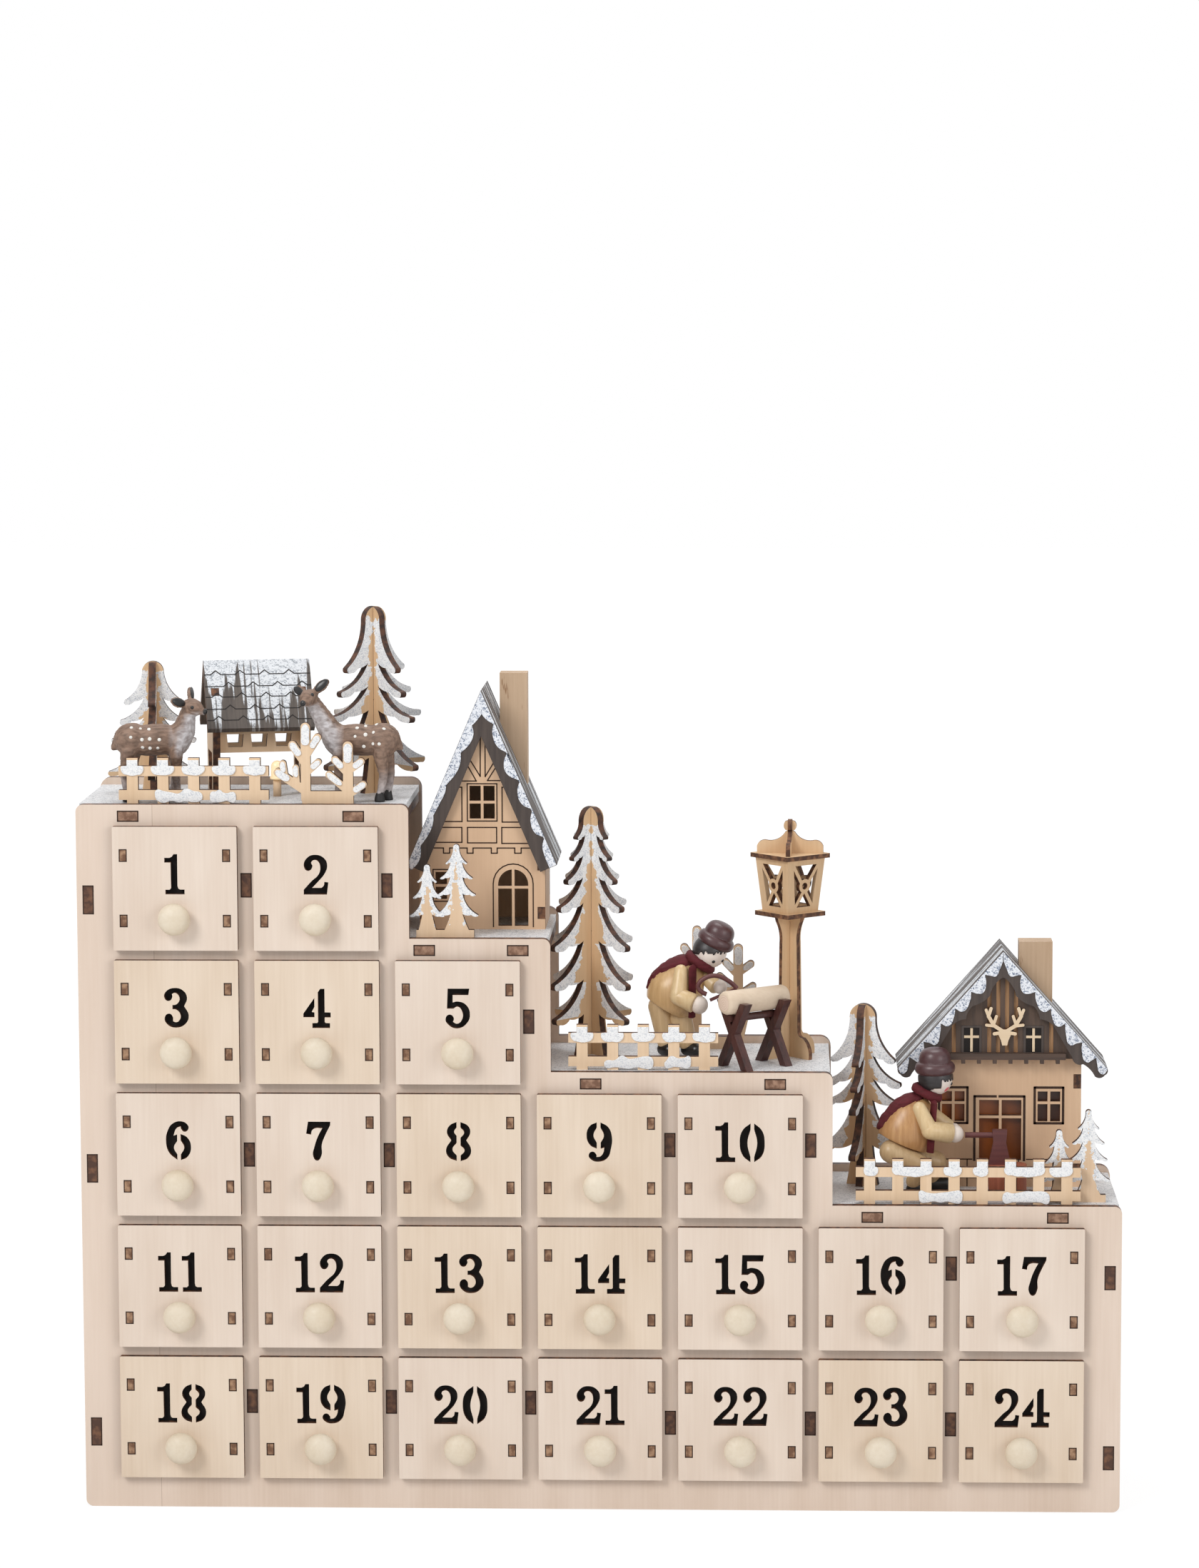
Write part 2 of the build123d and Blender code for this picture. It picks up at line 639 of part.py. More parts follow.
house_place = on_deck(1, 27.8, HOUSE_FRONT)
house_gable = gable_outline(HOUSE_WIDTH, HOUSE_RIDGE, HOUSE_ANGLE) - wall_notches(HOUSE_WIDTH, HOUSE_TABS)
house_front = house_gable - panes(-5.0, 45.2, 5.2, 58.6, WINDOW_BAR, 0.5) - arched_window()
house_front -= panes(-19.0, 12.4, -8.6, 23.4, WINDOW_BAR, 0.5)
house_shoulder = HOUSE_RIDGE - THIN_PLY / cos(HOUSE_ANGLE) - HOUSE_WIDTH / 2 * tan(HOUSE_ANGLE)
house_walls = [
    facing_plate(house_front, 0, THIN_PLY),
    facing_plate(house_gable, HOUSE_DEPTH - THIN_PLY, THIN_PLY),
    side_wall(HOUSE_WIDTH, HOUSE_DEPTH, house_shoulder, HOUSE_TABS, -1),
    side_wall(HOUSE_WIDTH, HOUSE_DEPTH, house_shoulder, HOUSE_TABS, 1),
]
save("house_walls", *[house_place * wall for wall in house_walls])
house_slopes = [
    slope_board(HOUSE_RIDGE, HOUSE_RUN, HOUSE_ANGLE, 0, HOUSE_DEPTH + ROOF_OVERHANG, side) for side in (-1, 1)
]
save("house_roof", *[house_place * slope for slope in house_slopes])
house_fascia = facing_plate(chevron(HOUSE_RIDGE, HOUSE_RUN, HOUSE_ANGLE, HOUSE_FASCIA), -THIN_PLY, THIN_PLY)
save("house_fascia", house_place * house_fascia)

# Chalet on the low deck
CHALET_WIDTH = 64.6
CHALET_DEPTH = 27.0
CHALET_RIDGE = 98.4
CHALET_RUN = 42.8
CHALET_ANGLE = radians(48.6)
CHALET_TABS = ((4.0, 9.6), (41.0, 46.6))
CHALET_FRONT = 40.0
BEAM_LEVEL = 53.6
BEAM_HEIGHT = 2.6
BATTEN = 1.6
BATTEN_PITCH = 3.6
GABLE_WINDOW = (5.6, 7.6)
GABLE_WINDOW_X = 12.6
# Carved lower edge of the fascia as arcs, each by its middle and end, from the ridge and from the eave
FASCIA_ARCH_TOP = 10.8
FASCIA_ARCH = (
    ((3.9, -14.6), (5.3, -18.4)),
    ((8.4, -21.0), (12.3, -22.6)),
    ((14.2, -25.1), (15.0, -28.0)),
    ((17.8, -28.7), (20.4, -30.4)),
)
FASCIA_EAVE_START = (-14.6, 4.8)
FASCIA_EAVE = (
    ((-13.2, 2.4), (-10.2, 2.1)),
    ((-7.4, 0.0), (-5.4, -2.9)),
    ((-3.3, -3.6), (-1.3, -2.4)),
    ((-0.1, -0.8), (-0.8, 0.9)),
)

chalet_place = on_deck(3, 69.5, CHALET_FRONT)
chalet_gable = gable_outline(CHALET_WIDTH, CHALET_RIDGE, CHALET_ANGLE)
chalet_gable -= wall_notches(CHALET_WIDTH, CHALET_TABS)
chalet_front = chalet_gable - panes(-9.2, 11.0, 8.0, 36.0, WINDOW_BAR, 0.72)
for window in (-19.8, 19.2):
    chalet_front -= panes(window - 4.6, 27.2, window + 4.6, 39.6, WINDOW_BAR, 0.62)
chalet_shoulder = CHALET_RIDGE - THIN_PLY / cos(CHALET_ANGLE) - CHALET_WIDTH / 2 * tan(CHALET_ANGLE)
chalet_walls = [
    facing_plate(chalet_front, 0, THIN_PLY),
    facing_plate(chalet_gable, CHALET_DEPTH - THIN_PLY, THIN_PLY),
    side_wall(CHALET_WIDTH, CHALET_DEPTH, chalet_shoulder, CHALET_TABS, -1),
    side_wall(CHALET_WIDTH, CHALET_DEPTH, chalet_shoulder, CHALET_TABS, 1),
]
save("chalet_walls", *[chalet_place * wall for wall in chalet_walls])
chalet_roof_depth = THIN_PLY + CHALET_DEPTH + ROOF_OVERHANG
chalet_slopes = [
    slope_board(CHALET_RIDGE, CHALET_RUN, CHALET_ANGLE, -THIN_PLY, chalet_roof_depth, side) for side in (-1, 1)
]
save("chalet_roof", *[chalet_place * slope for slope in chalet_slopes])


# Chalet gable: battened board, balcony beam with joist ends, fascia with its arch, stag's head
def battened_board():
    apex = CHALET_RIDGE - THIN_PLY / cos(CHALET_ANGLE)
    half = (apex - BEAM_LEVEL) / tan(CHALET_ANGLE)
    board = make_face(Polyline((-half, BEAM_LEVEL), (half, BEAM_LEVEL), (0, apex), close=True))
    board = board & rect(-CHALET_WIDTH / 2, BEAM_LEVEL, CHALET_WIDTH / 2, CHALET_RIDGE)
    width, height = GABLE_WINDOW
    sill = BEAM_LEVEL + BEAM_HEIGHT
    for side in (-1, 1):
        middle = side * GABLE_WINDOW_X
        board -= panes(middle - width / 2, sill, middle + width / 2, sill + height, WINDOW_BAR, 0.62)
    plate = facing_plate(board, -THIN_PLY, THIN_PLY)
    count = int(GABLE_WINDOW_X / BATTEN_PITCH) + 3
    for number in range(-count, count):
        middle = (number + 0.5) * BATTEN_PITCH
        if abs(abs(middle) - GABLE_WINDOW_X) > width / 2 + BATTEN / 2:
            groove = rect(middle - BATTEN / 2, sill, middle + BATTEN / 2, CHALET_RIDGE)
            plate -= facing_plate(groove, -THIN_PLY, THIN_PLY / 3)
    return plate


def balcony_beam():
    half = CHALET_RUN + FASCIA_EAVE_START[0] - BEAM_HEIGHT
    beam = rect(-half, BEAM_LEVEL, half, BEAM_LEVEL + BEAM_HEIGHT)
    joists = 8
    for number in range(joists):
        middle = -half + (number + 0.5) * 2 * half / joists
        beam += rect(middle - BATTEN / 2, BEAM_LEVEL - BATTEN, middle + BATTEN / 2, BEAM_LEVEL)
    return facing_plate(beam, -2 * THIN_PLY, THIN_PLY)


def chalet_fascia():
    eave = CHALET_RIDGE - CHALET_RUN * tan(CHALET_ANGLE)
    place = (0, CHALET_RIDGE - FASCIA_ARCH_TOP)
    edges = [Line((0, CHALET_RIDGE), place)]
    for middle, end in FASCIA_ARCH:
        stop = (end[0], CHALET_RIDGE + end[1])
        edges.append(ThreePointArc(place, (middle[0], CHALET_RIDGE + middle[1]), stop))
        place = stop
    stop = (CHALET_RUN + FASCIA_EAVE_START[0], eave + FASCIA_EAVE_START[1])
    edges.append(Line(place, stop))
    place = stop
    for middle, end in FASCIA_EAVE:
        stop = (CHALET_RUN + end[0], eave + end[1])
        edges.append(ThreePointArc(place, (CHALET_RUN + middle[0], eave + middle[1]), stop))
        place = stop
    edges.append(Line(place, (0, CHALET_RIDGE)))
    half = make_face(edges)
    return facing_plate(half + mirror(half, about=Plane.YZ), -2 * THIN_PLY, THIN_PLY)


STAG_PLY = 2.0
STAG_LEVEL = 59.4
STAG_TWIGS = (
    ((1.0, 6.0), (4.4, 8.2), 1.5),
    ((4.4, 8.2), (6.6, 12.0), 1.5),
    ((6.6, 12.0), (5.6, 15.2), 1.3),
    ((6.4, 11.4), (7.6, 14.6), 1.2),
    ((4.6, 8.4), (3.4, 12.0), 1.2),
    ((4.2, 8.0), (7.4, 8.4), 1.2),
    ((0.8, 5.4), (4.2, 4.8), 1.4),
)


def stag_head():
    cheek = ((1.0, 0), (1.5, 2.0), (2.6, 4.6), (1.6, 6.6))
    head = Polygon(*cheek, *[(-x, z) for x, z in reversed(cheek)])
    side = [twig(*place) for place in STAG_TWIGS]
    sketch = head + side + [mirror(piece, about=Plane.YZ) for piece in side]
    return Pos(0.8, 0, STAG_LEVEL) * facing_plate(sketch, -THIN_PLY - STAG_PLY, STAG_PLY)


gable_pieces = [battened_board(), balcony_beam(), chalet_fascia(), stag_head()]
save("chalet_gable", *[chalet_place * piece for piece in gable_pieces])


# Chimneys, cut to the roof slopes they stand on
def chimney(place, width, depth, middle, back, top, slope):
    block = rect(middle - width / 2, 0, middle + width / 2, top)
    stack = facing_plate(block, back - depth, depth)
    ridge, run, angle = slope
    eave = ridge - run * tan(angle)
    under = make_face(Polyline((0, ridge), (run, eave), (run, 0), (-run, 0), (-run, ridge), close=True))
    return place * (stack - facing_plate(under, back - 2 * depth, 3 * depth))


save(
    "chimneys",
    chimney(house_place, 11.2, 10.0, 11.9, 30.0, 102.6, (HOUSE_RIDGE, HOUSE_RUN, HOUSE_ANGLE)),
    chimney(chalet_place, 13.6, 11.0, 14.0, 20.0, 100.0, (CHALET_RIDGE, CHALET_RUN, CHALET_ANGLE)),
)

# Hay feeder on the top deck. Local X runs along its ridge.
FEEDER_LENGTH = 43.5
FEEDER_RIDGE = 54.0
FEEDER_RUN = 19.0
FEEDER_ANGLE = radians(54.0)
FEEDER_INSET = 4.0
FEEDER_LEG = 5.0
FEEDER_TAB = 3.4
FEEDER_TAB_DROP = 15.0
RACK_LOW = 17.0
RACK_HEIGHT = 9.0
RACK_LIGHTS = 3
RACK_BAR = 3.0
RACK_TAPER = 0.5
feeder_place = on_deck(0, 68.0, 48.0, 12.0)


def roof_tab(side, width, clearance):
    """A tab square to the roof slope, its foot in the frame and its end flush with the roof's outer face."""
    run = FEEDER_TAB_DROP * cos(FEEDER_ANGLE)
    outer = (side * run, FEEDER_RIDGE - FEEDER_TAB_DROP * sin(FEEDER_ANGLE))
    tab = rect(-width / 2 - clearance, -2 * THIN_PLY, width / 2 + clearance, clearance)
    return Pos(*outer) * Rot(0, 0, -side * degrees(FEEDER_ANGLE)) * tab


def feeder_frame(side):
    """A gable on two splayed legs with a tie for the rack."""
    apex = FEEDER_RIDGE - THIN_PLY / cos(FEEDER_ANGLE)
    shoulder = FEEDER_RUN - 5.0
    eave = apex - shoulder * tan(FEEDER_ANGLE)
    foot = shoulder - 3.0
    outline = Polygon((-foot, 0), (foot, 0), (shoulder, eave), (0, apex), (-shoulder, eave))
    gap = foot - FEEDER_LEG
    outline -= Polygon((-gap, 0), (gap, 0), (gap + 2.0, RACK_LOW), (-gap - 2.0, RACK_LOW))
    for slope in (-1, 1):
        outline += roof_tab(slope, FEEDER_TAB, 0)
    left = side * (FEEDER_LENGTH / 2 - FEEDER_INSET) - THIN_PLY / 2
    return side_plate(outline, left, THIN_PLY)


def rack_board(side):
    """A rail between the frames with three tapered lights."""
    half = FEEDER_LENGTH / 2 - FEEDER_INSET - THIN_PLY / 2
    sketch = rect(-half, RACK_LOW, half, RACK_LOW + RACK_HEIGHT)
    low, high = RACK_LOW + RACK_HEIGHT / 4, RACK_LOW + 5 / 6 * RACK_HEIGHT
    pitch = (2 * half - RACK_BAR) / RACK_LIGHTS
    wide = (pitch - RACK_BAR) / 2
    narrow = wide - RACK_TAPER
    for light in range(RACK_LIGHTS):
        middle = -half + RACK_BAR / 2 + (light + 0.5) * pitch
        edge = [(middle + narrow, low), (middle + wide, high), (middle - wide, high), (middle - narrow, low)]
        sketch -= Polygon(*edge)
    return Pos(0, side * 8.0, 0) * cutout(sketch)


def feeder_slope(side):
    board = slope_board(FEEDER_RIDGE, FEEDER_RUN, FEEDER_ANGLE, -FEEDER_LENGTH / 2, FEEDER_LENGTH, side)
    board = Rot(0, 0, 90) * board
    hole = roof_tab(side, FEEDER_TAB, JOINT_CLEARANCE)
    for end in (-1, 1):
        left = end * (FEEDER_LENGTH / 2 - FEEDER_INSET) - THIN_PLY / 2 - JOINT_CLEARANCE
        board -= side_plate(hole, left, THIN_PLY + 2 * JOINT_CLEARANCE)
    return board


save("feeder_frame", *[feeder_place * f(side) for f in (feeder_frame, rack_board) for side in (-1, 1)])
save("feeder_roof", *[feeder_place * feeder_slope(side) for side in (-1, 1)])

# Lamps: one on a post by the feeder, one in the house and one in the chalet
LAMP_DIAMETER = 5.0
LAMP_LENGTH = 7.5
LAMP_RIM = 5.8
LAMP_RIM_HEIGHT = 1.0
LAMP_POST = 3.0
LAMP_POST_HEIGHT = 7.0


def lamp(stand):
    radius = LAMP_DIAMETER / 2
    body = Pos(0, 0, (LAMP_LENGTH - radius) / 2) * Cylinder(radius, LAMP_LENGTH - radius)
    body += Pos(0, 0, LAMP_LENGTH - radius) * Sphere(radius)
    body += Pos(0, 0, LAMP_RIM_HEIGHT / 2) * Cylinder(LAMP_RIM / 2, LAMP_RIM_HEIGHT)
    return Pos(0, 0, stand) * body


lamp_post = Pos(0, 0, LAMP_POST_HEIGHT / 2) * Box(LAMP_POST, LAMP_POST, LAMP_POST_HEIGHT)
feeder_lamp_place = on_deck(0, 78.0, 30.0)
save(
    "lamps",
    feeder_lamp_place * lamp_post,
    feeder_lamp_place * lamp(LAMP_POST_HEIGHT),
    house_place * Pos(0, HOUSE_DEPTH / 2, 0) * lamp(0),
    chalet_place * Pos(0, CHALET_DEPTH / 2, 0) * lamp(0),
)

# Street lamp on the third deck: crossed post plates, two trays, a tapering lantern and a crossed cap
POST_HEIGHT = 57.0
POST_HALF = 5.6
POST_FOOT = 12.5
LOW_TRAY = 20.6
HIGH_TRAY = 23.2
LANTERN_HEIGHT = 22.0
LANTERN_LOW = 16.0
LANTERN_HIGH = 20.0
LANTERN_WALL = 2.0
CAP_HEIGHT = 12.6
CAP_HALF = 13.5
CAP_BALL = 2.6
street_lamp_place = on_deck(2, 96.0, 40.0, 41.0)


def post_outline():
    edges = [Line((0, 0), (POST_FOOT, 0))]
    edges.append(ThreePointArc((POST_FOOT, 0), (POST_FOOT - 0.6, 5.0), (POST_FOOT - 4.0, 8.6)))
    edges.append(ThreePointArc((POST_FOOT - 4.0, 8.6), (POST_HALF + 1.0, 9.0), (POST_HALF, 11.0)))
    edges.append(Line((POST_HALF, 11.0), (POST_HALF - 0.6, POST_HEIGHT - 10.0)))
    neck, head = (POST_HALF - 0.6, POST_HEIGHT - 10.0), (POST_HALF + 2.0, POST_HEIGHT)
    edges.append(ThreePointArc(neck, (POST_HALF, POST_HEIGHT - 4.0), head))
    edges += [Line(head, (0, POST_HEIGHT)), Line((0, POST_HEIGHT), (0, 0))]
    half = make_face(edges)
    return half + mirror(half, about=Plane.YZ)


def cap_outline():
    neck = CAP_HEIGHT - 2 * CAP_BALL
    start, end = (CAP_HALF, 1.6), (1.7, neck + 0.6)
    edges = [Line((0, 0), (CAP_HALF, 0)), Line((CAP_HALF, 0), start)]
    edges.append(ThreePointArc(start, (CAP_HALF - 1.2, 3.4), (CAP_HALF - 4.0, 4.0)))
    edges.append(ThreePointArc((CAP_HALF - 4.0, 4.0), (4.2, 5.0), end))
    edges += [Line(end, (0, neck + 0.6)), Line((0, neck + 0.6), (0, 0))]
    half = make_face(edges)
    return half + mirror(half, about=Plane.YZ) + Pos(0, CAP_HEIGHT - CAP_BALL) * Circle(CAP_BALL)


def crossed(outline, height):
    """Two plates of one outline, half-lapped on their middle line."""
    half = THIN_PLY / 2 + JOINT_CLEARANCE
    lower = outline - rect(-half, 0, half, height / 2 + JOINT_CLEARANCE)
    upper = outline - rect(-half, height / 2 - JOINT_CLEARANCE, half, height)
    return [cutout(lower), Rot(0, 0, 90) * cutout(upper)]


def lantern():
    """Four mitred panels with crossed bars and a ring, between the trays."""
    low, high, wall = LANTERN_LOW, LANTERN_HIGH, LANTERN_WALL
    top = Plane.XY.offset(LANTERN_HEIGHT)
    shell = loft([Rectangle(low, low).face(), (top * Rectangle(high, high)).face()])
    inner_low, inner_high = low - 2 * wall, high - 2 * wall
    shell -= loft([Rectangle(inner_low, inner_low).face(), (top * Rectangle(inner_high, inner_high)).face()])
    border, bar, ring = 2.4, 1.5, 2.9
    half_low, half_high = low / 2 - border - wall / 2, high / 2 - border - wall / 2
    z_low, z_high = border, LANTERN_HEIGHT - border
    middle = (0, (z_low + z_high) / 2)
    light = Polygon((-half_low, z_low), (half_low, z_low), (half_high, z_high), (-half_high, z_high))
    for side in (-1, 1):
        light -= twig((-side * half_low, z_low), (side * half_high, z_high), bar)
    light = light - Pos(*middle) * Circle(ring) + Pos(*middle) * Circle(ring - bar)
    through = facing_plate(light, -high, 2 * high)
    shell = shell - through - Rot(0, 0, 90) * through
    quarter = Polygon((0, 0), (high, -high), (high, high))
    panels = [shell & flat_plate(Rot(0, 0, 90 * turn) * quarter, 0, LANTERN_HEIGHT) for turn in range(4)]
    return panels


lantern_floor = POST_HEIGHT + THIN_PLY
lantern_roof = lantern_floor + LANTERN_HEIGHT
cap_place = Pos(0, 0, lantern_roof + THIN_PLY) * Rot(0, 0, 45)
street_lamp = [
    *crossed(post_outline(), POST_HEIGHT),
    flat_plate(RectangleRounded(LOW_TRAY, LOW_TRAY, 0.5), POST_HEIGHT, THIN_PLY),
    *[Pos(0, 0, lantern_floor) * panel for panel in lantern()],
    flat_plate(RectangleRounded(HIGH_TRAY, HIGH_TRAY, 0.5), lantern_roof, THIN_PLY),
    *[cap_place * plate for plate in crossed(cap_outline(), CAP_HEIGHT)],
]
save("street_lamp", *[street_lamp_place * piece for piece in street_lamp])

# Sawhorse with its log. Local X runs along the log.
LEG = 3.4
LEG_FOOT = 8.2
LEG_TOP = 7.6
SAWHORSE_HEIGHT = 27.0
SAWHORSE_SPACING = 20.0
LOG_DIAMETER = 9.6
LOG_LENGTH = 31.0
STRETCHER = 3.0
sawhorse_place = on_deck(2, 81.5, 17.0, 38.0)
leg_angle = atan2(LEG_FOOT + LEG_TOP, SAWHORSE_HEIGHT)
leg_crossing = LEG_FOOT / tan(leg_angle)


def cradled(diameter):
    """Level of a round stick lying in the fork of the legs."""
    return leg_crossing + (diameter / 2 + LEG / 2) / sin(leg_angle) + 0.05


def leg_cross(side):
    half = LEG / 2 / cos(leg_angle)
    top = ((half - LEG_TOP, SAWHORSE_HEIGHT), (-half - LEG_TOP, SAWHORSE_HEIGHT))
    leg = Polygon((LEG_FOOT - half, 0), (LEG_FOOT + half, 0), *top)
    cross = leg + mirror(leg, about=Plane.YZ)
    return side_plate(cross, side * SAWHORSE_SPACING / 2 - LEG / 2, LEG)


log_rise = cradled(LOG_DIAMETER)
stretcher_length = SAWHORSE_SPACING + LEG + 1.6
sawhorse = [
    leg_cross(-1),
    leg_cross(1),
    Pos(0, 0, cradled(STRETCHER)) * Rot(0, 90, 0) * Cylinder(STRETCHER / 2, stretcher_length),
    Pos(0, 0, log_rise) * Rot(0, 90, 0) * Cylinder(LOG_DIAMETER / 2, LOG_LENGTH),
]
save("sawhorse", *[sawhorse_place * piece for piece in sawhorse])

# Chopping block: a stump, a split log beside it and a chip on top
STUMP_DIAMETER = 11.0
STUMP_HEIGHT = 12.4
block_place = on_deck(3, 69.0, 24.5)
stump = Pos(0, 0, STUMP_HEIGHT / 2) * Cylinder(STUMP_DIAMETER / 2, STUMP_HEIGHT)
split_half = rect(1.5, -STUMP_DIAMETER, STUMP_DIAMETER, STUMP_DIAMETER)
split = extrude(Circle(STUMP_DIAMETER / 2) & split_half, STUMP_HEIGHT)
save("chopping_block", block_place * stump, block_place * Pos(STUMP_DIAMETER / 2 - 1.0, 0, 0) * split)

# Figures of turned and painted wood. Local origin on the deck between the boots.
SAWYER_HAND = (9.8, -13.2, 22.9)
WOODCUTTER_HAND = (17.0, -5.4, 24.4)
HAND = 3.0
SAWYER_FIST = 3.3


def hat(brim, height, crown, place, lean):
    """A rolled brim with a domed crown."""
    form = Cylinder(brim, height) + Pos(0, 0, height / 2) * Sphere(crown)
    return Plane(origin=place, z_dir=(lean, 0, 1)) * form


# Sawyer, bent over the sawhorse
sawyer_place = on_deck(2, 50.4, 40.0)
sawyer = glued(
    egg((-1.8, 0, 27.0), (0.35, 0, 1), 12.4, 9.6),
    egg((13.4, -1.0, 42.6), (0.3, 0, 1), 6.6, 6.2),
    hat(7.4, 4.0, 6.8, (14.4, -1.0, 45.6), 0.35),
    limb((5.4, -1.0, 37.4), (9.6, -1.0, 39.6), 7.6, 6.8),
    limb((-5.0, 0, 16.0), (-5.2, 0, 6.0), 4.6, 4.2),
    limb((5.0, 0, 16.0), (5.4, 0, 6.0), 4.6, 4.2),
    limb((-6.0, 0, 2.6), (-3.0, -3.0, 2.6), 2.6, 2.6),
    limb((4.6, 0, 2.6), (7.6, -3.0, 2.6), 2.6, 2.6),
    limb((1.2, -7.0, 36.0), (-1.6, -11.0, 25.2), 3.3, 3.2),
    limb((-1.6, -11.0, 25.2), (6.6, -13.0, 23.3), 3.2, 3.4),
    Pos(*SAWYER_HAND) * Sphere(SAWYER_FIST),
    limb((8.2, 6.0, 35.0), (15.4, -4.6, 29.2), 3.2, 3.0),
    Pos(18.0, -6.8, 29.4) * Sphere(HAND),
)
save("sawyer", *[sawyer_place * piece for piece in sawyer])

# Woodcutter, crouching with both arms forward
woodcutter_place = on_deck(3, 34.0, 25.5)
woodcutter = glued(
    egg((-3.6, 0, 26.0), (0.75, 0, 1), 13.4, 9.4),
    egg((9.2, 0, 45.6), (0.2, 0, 1), 6.6, 6.2),
    hat(7.4, 4.4, 7.0, (8.4, 0, 49.4), -0.1),
    limb((3.4, 0, 38.6), (6.4, 0, 39.8), 7.2, 6.6),
    limb((-7.4, -4.6, 17.6), (1.8, -5.0, 12.0), 5.2, 4.4),
    limb((-7.4, 4.6, 17.6), (8.4, 5.0, 12.0), 5.2, 4.4),
    limb((1.8, -5.0, 12.0), (-0.6, -5.0, 6.0), 4.2, 3.4),
    limb((8.4, 5.0, 12.0), (6.4, 5.0, 6.0), 4.2, 3.4),
    limb((-1.2, -5.0, 2.6), (3.2, -6.0, 2.6), 2.6, 2.6),
    limb((6.4, 5.0, 2.6), (12.6, 5.0, 2.6), 2.6, 2.6),
    limb((1.4, -7.0, 34.4), (5.0, -9.6, 26.4), 3.4, 3.0),
    limb((5.0, -9.6, 26.4), (13.6, -6.6, 24.6), 3.0, 2.8),
    Pos(*WOODCUTTER_HAND) * Sphere(HAND),
    limb((3.0, 7.2, 34.2), (13.8, 3.6, 26.6), 3.2, 2.8),
    Pos(16.4, 1.2, 25.4) * Sphere(2.8),
)
save("woodcutter", *[woodcutter_place * piece for piece in woodcutter])

# Their tools, each in the near hand: a bow saw behind the log and an axe on the stump
SAW_BOW = 1.9
SAW_BLADE = 1.3
SAW_TIP = (14.2, 0, 7.0)
SAW_ARC = ((1.9, 0, 4.6), (-1.5, 0, 8.4), (4.0, 0, 12.2), (9.6, 0, 10.9))
AXE_HANDLE = 2.3
AXE_PLATE = 3.0
saw_hand = sawyer_place * Pos(*SAWYER_HAND)
bow_arc = Spline(*SAW_ARC, SAW_TIP)
bow = sweep(Plane(origin=bow_arc @ 0, z_dir=bow_arc % 0) * Circle(SAW_BOW / 2), path=bow_arc)
blade_heel = (3.3, 2.2)
blade_run, blade_rise = SAW_TIP[0] - blade_heel[0], SAW_TIP[2] - blade_heel[1]
blade = Box(hypot(blade_run, blade_rise), SAW_BLADE / 2, SAW_BLADE)
blade_turn = Rot(0, -degrees(atan2(blade_rise, blade_run)), 0)
blade = Pos(blade_heel[0] + blade_run / 2, 0, blade_heel[1] + blade_rise / 2) * blade_turn * blade
saw = glued(blade, bow)

AXE_REACH = 17.0
axe_drop = WOODCUTTER_HAND[2] - STUMP_HEIGHT
axe_cheek = ((3.0, AXE_HANDLE), (2.6, -3.0), (4.6, -axe_drop))
axe_head = Polygon(*axe_cheek, *[(-x, z) for x, z in reversed(axe_cheek)])
axe_place = woodcutter_place * Pos(*WOODCUTTER_HAND) * Pos(AXE_REACH, 4.4, 0)
shaft_length = AXE_REACH - HAND
axe_shaft = Pos(-shaft_length / 2, 0, 0) * Rot(0, 90, 0) * Cylinder(AXE_HANDLE / 2, shaft_length)
axe = glued(cutout(axe_head, AXE_PLATE), axe_shaft)
save("hand_tools", *[saw_hand * piece for piece in saw], *[axe_place * piece for piece in axe])


# Fawns: cast in one piece. Local X runs from rump to nose. Legs: hip, knee and hoof along X, and the side.
FAWN_LEGS = ((9.4, 9.0, 9.6, -1), (8.0, 8.6, 7.2, 1), (-9.8, -11.6, -10.6, -1), (-8.4, -9.6, -8.2, 1))
HEAD_TILT = 14.0


def fawn(head_turn, head_base):
    body = egg((0, 0, 24.6), (1, 0, 0.06), 14.2, 6.6) + egg((-8.6, 0, 24.4), (1, 0, -0.1), 7.4, 6.9)
    chest = egg((9.8, 0, 24.8), (0.5, 0, 1), 7.8, 5.6)
    neck = limb((12.2, 0, 28.0), head_base, 4.8, 2.9)
    skull = Pos(*head_base) * Rot(0, 0, head_turn) * Rot(HEAD_TILT, 0, 0)
    head = skull * (egg((1.8, 0, 0.6), (1, 0, -0.25), 4.6, 3.6) + limb((3.6, 0, 0), (6.2, 0, -1.2), 2.4, 1.5))
    ears = [skull * egg((-1.6, side * 4.8, 4.2), (-0.38, side * 0.79, 0.49), 4.0, 1.9) for side in (-1, 1)]
    form = body + chest + neck + head + ears[0] + ears[1]
    for x, knee, hoof, side in FAWN_LEGS:
        form += limb((x, side * 3.4, 20.0), (knee, side * 3.4, 11.0), 3.4 if x < 0 else 2.8, 1.9)
        form += limb((knee, side * 3.4, 11.0), (hoof, side * 3.4, 3.2), 1.9, 1.5)
        form += Pos(hoof + 0.3, side * 3.4, 1.6) * Cone(2.3, 1.6, 3.2)
    return form + limb((-14.0, 0, 26.0), (-16.2, 0, 21.4), 1.8, 1.2)


save("left_fawn", on_deck(0, 30.0, 14.0, 3.0) * fawn(-26, (14.4, 0, 37.2)))
save("right_fawn", on_deck(0, 113.5, 14.0, 178.0) * fawn(68, (19.8, 0, 41.0)))
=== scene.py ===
from math import atan2, cos, hypot, pi, radians, sin

import bmesh
import bpy
from mathutils import Matrix, Vector, noise
from mathutils.bvhtree import BVHTree


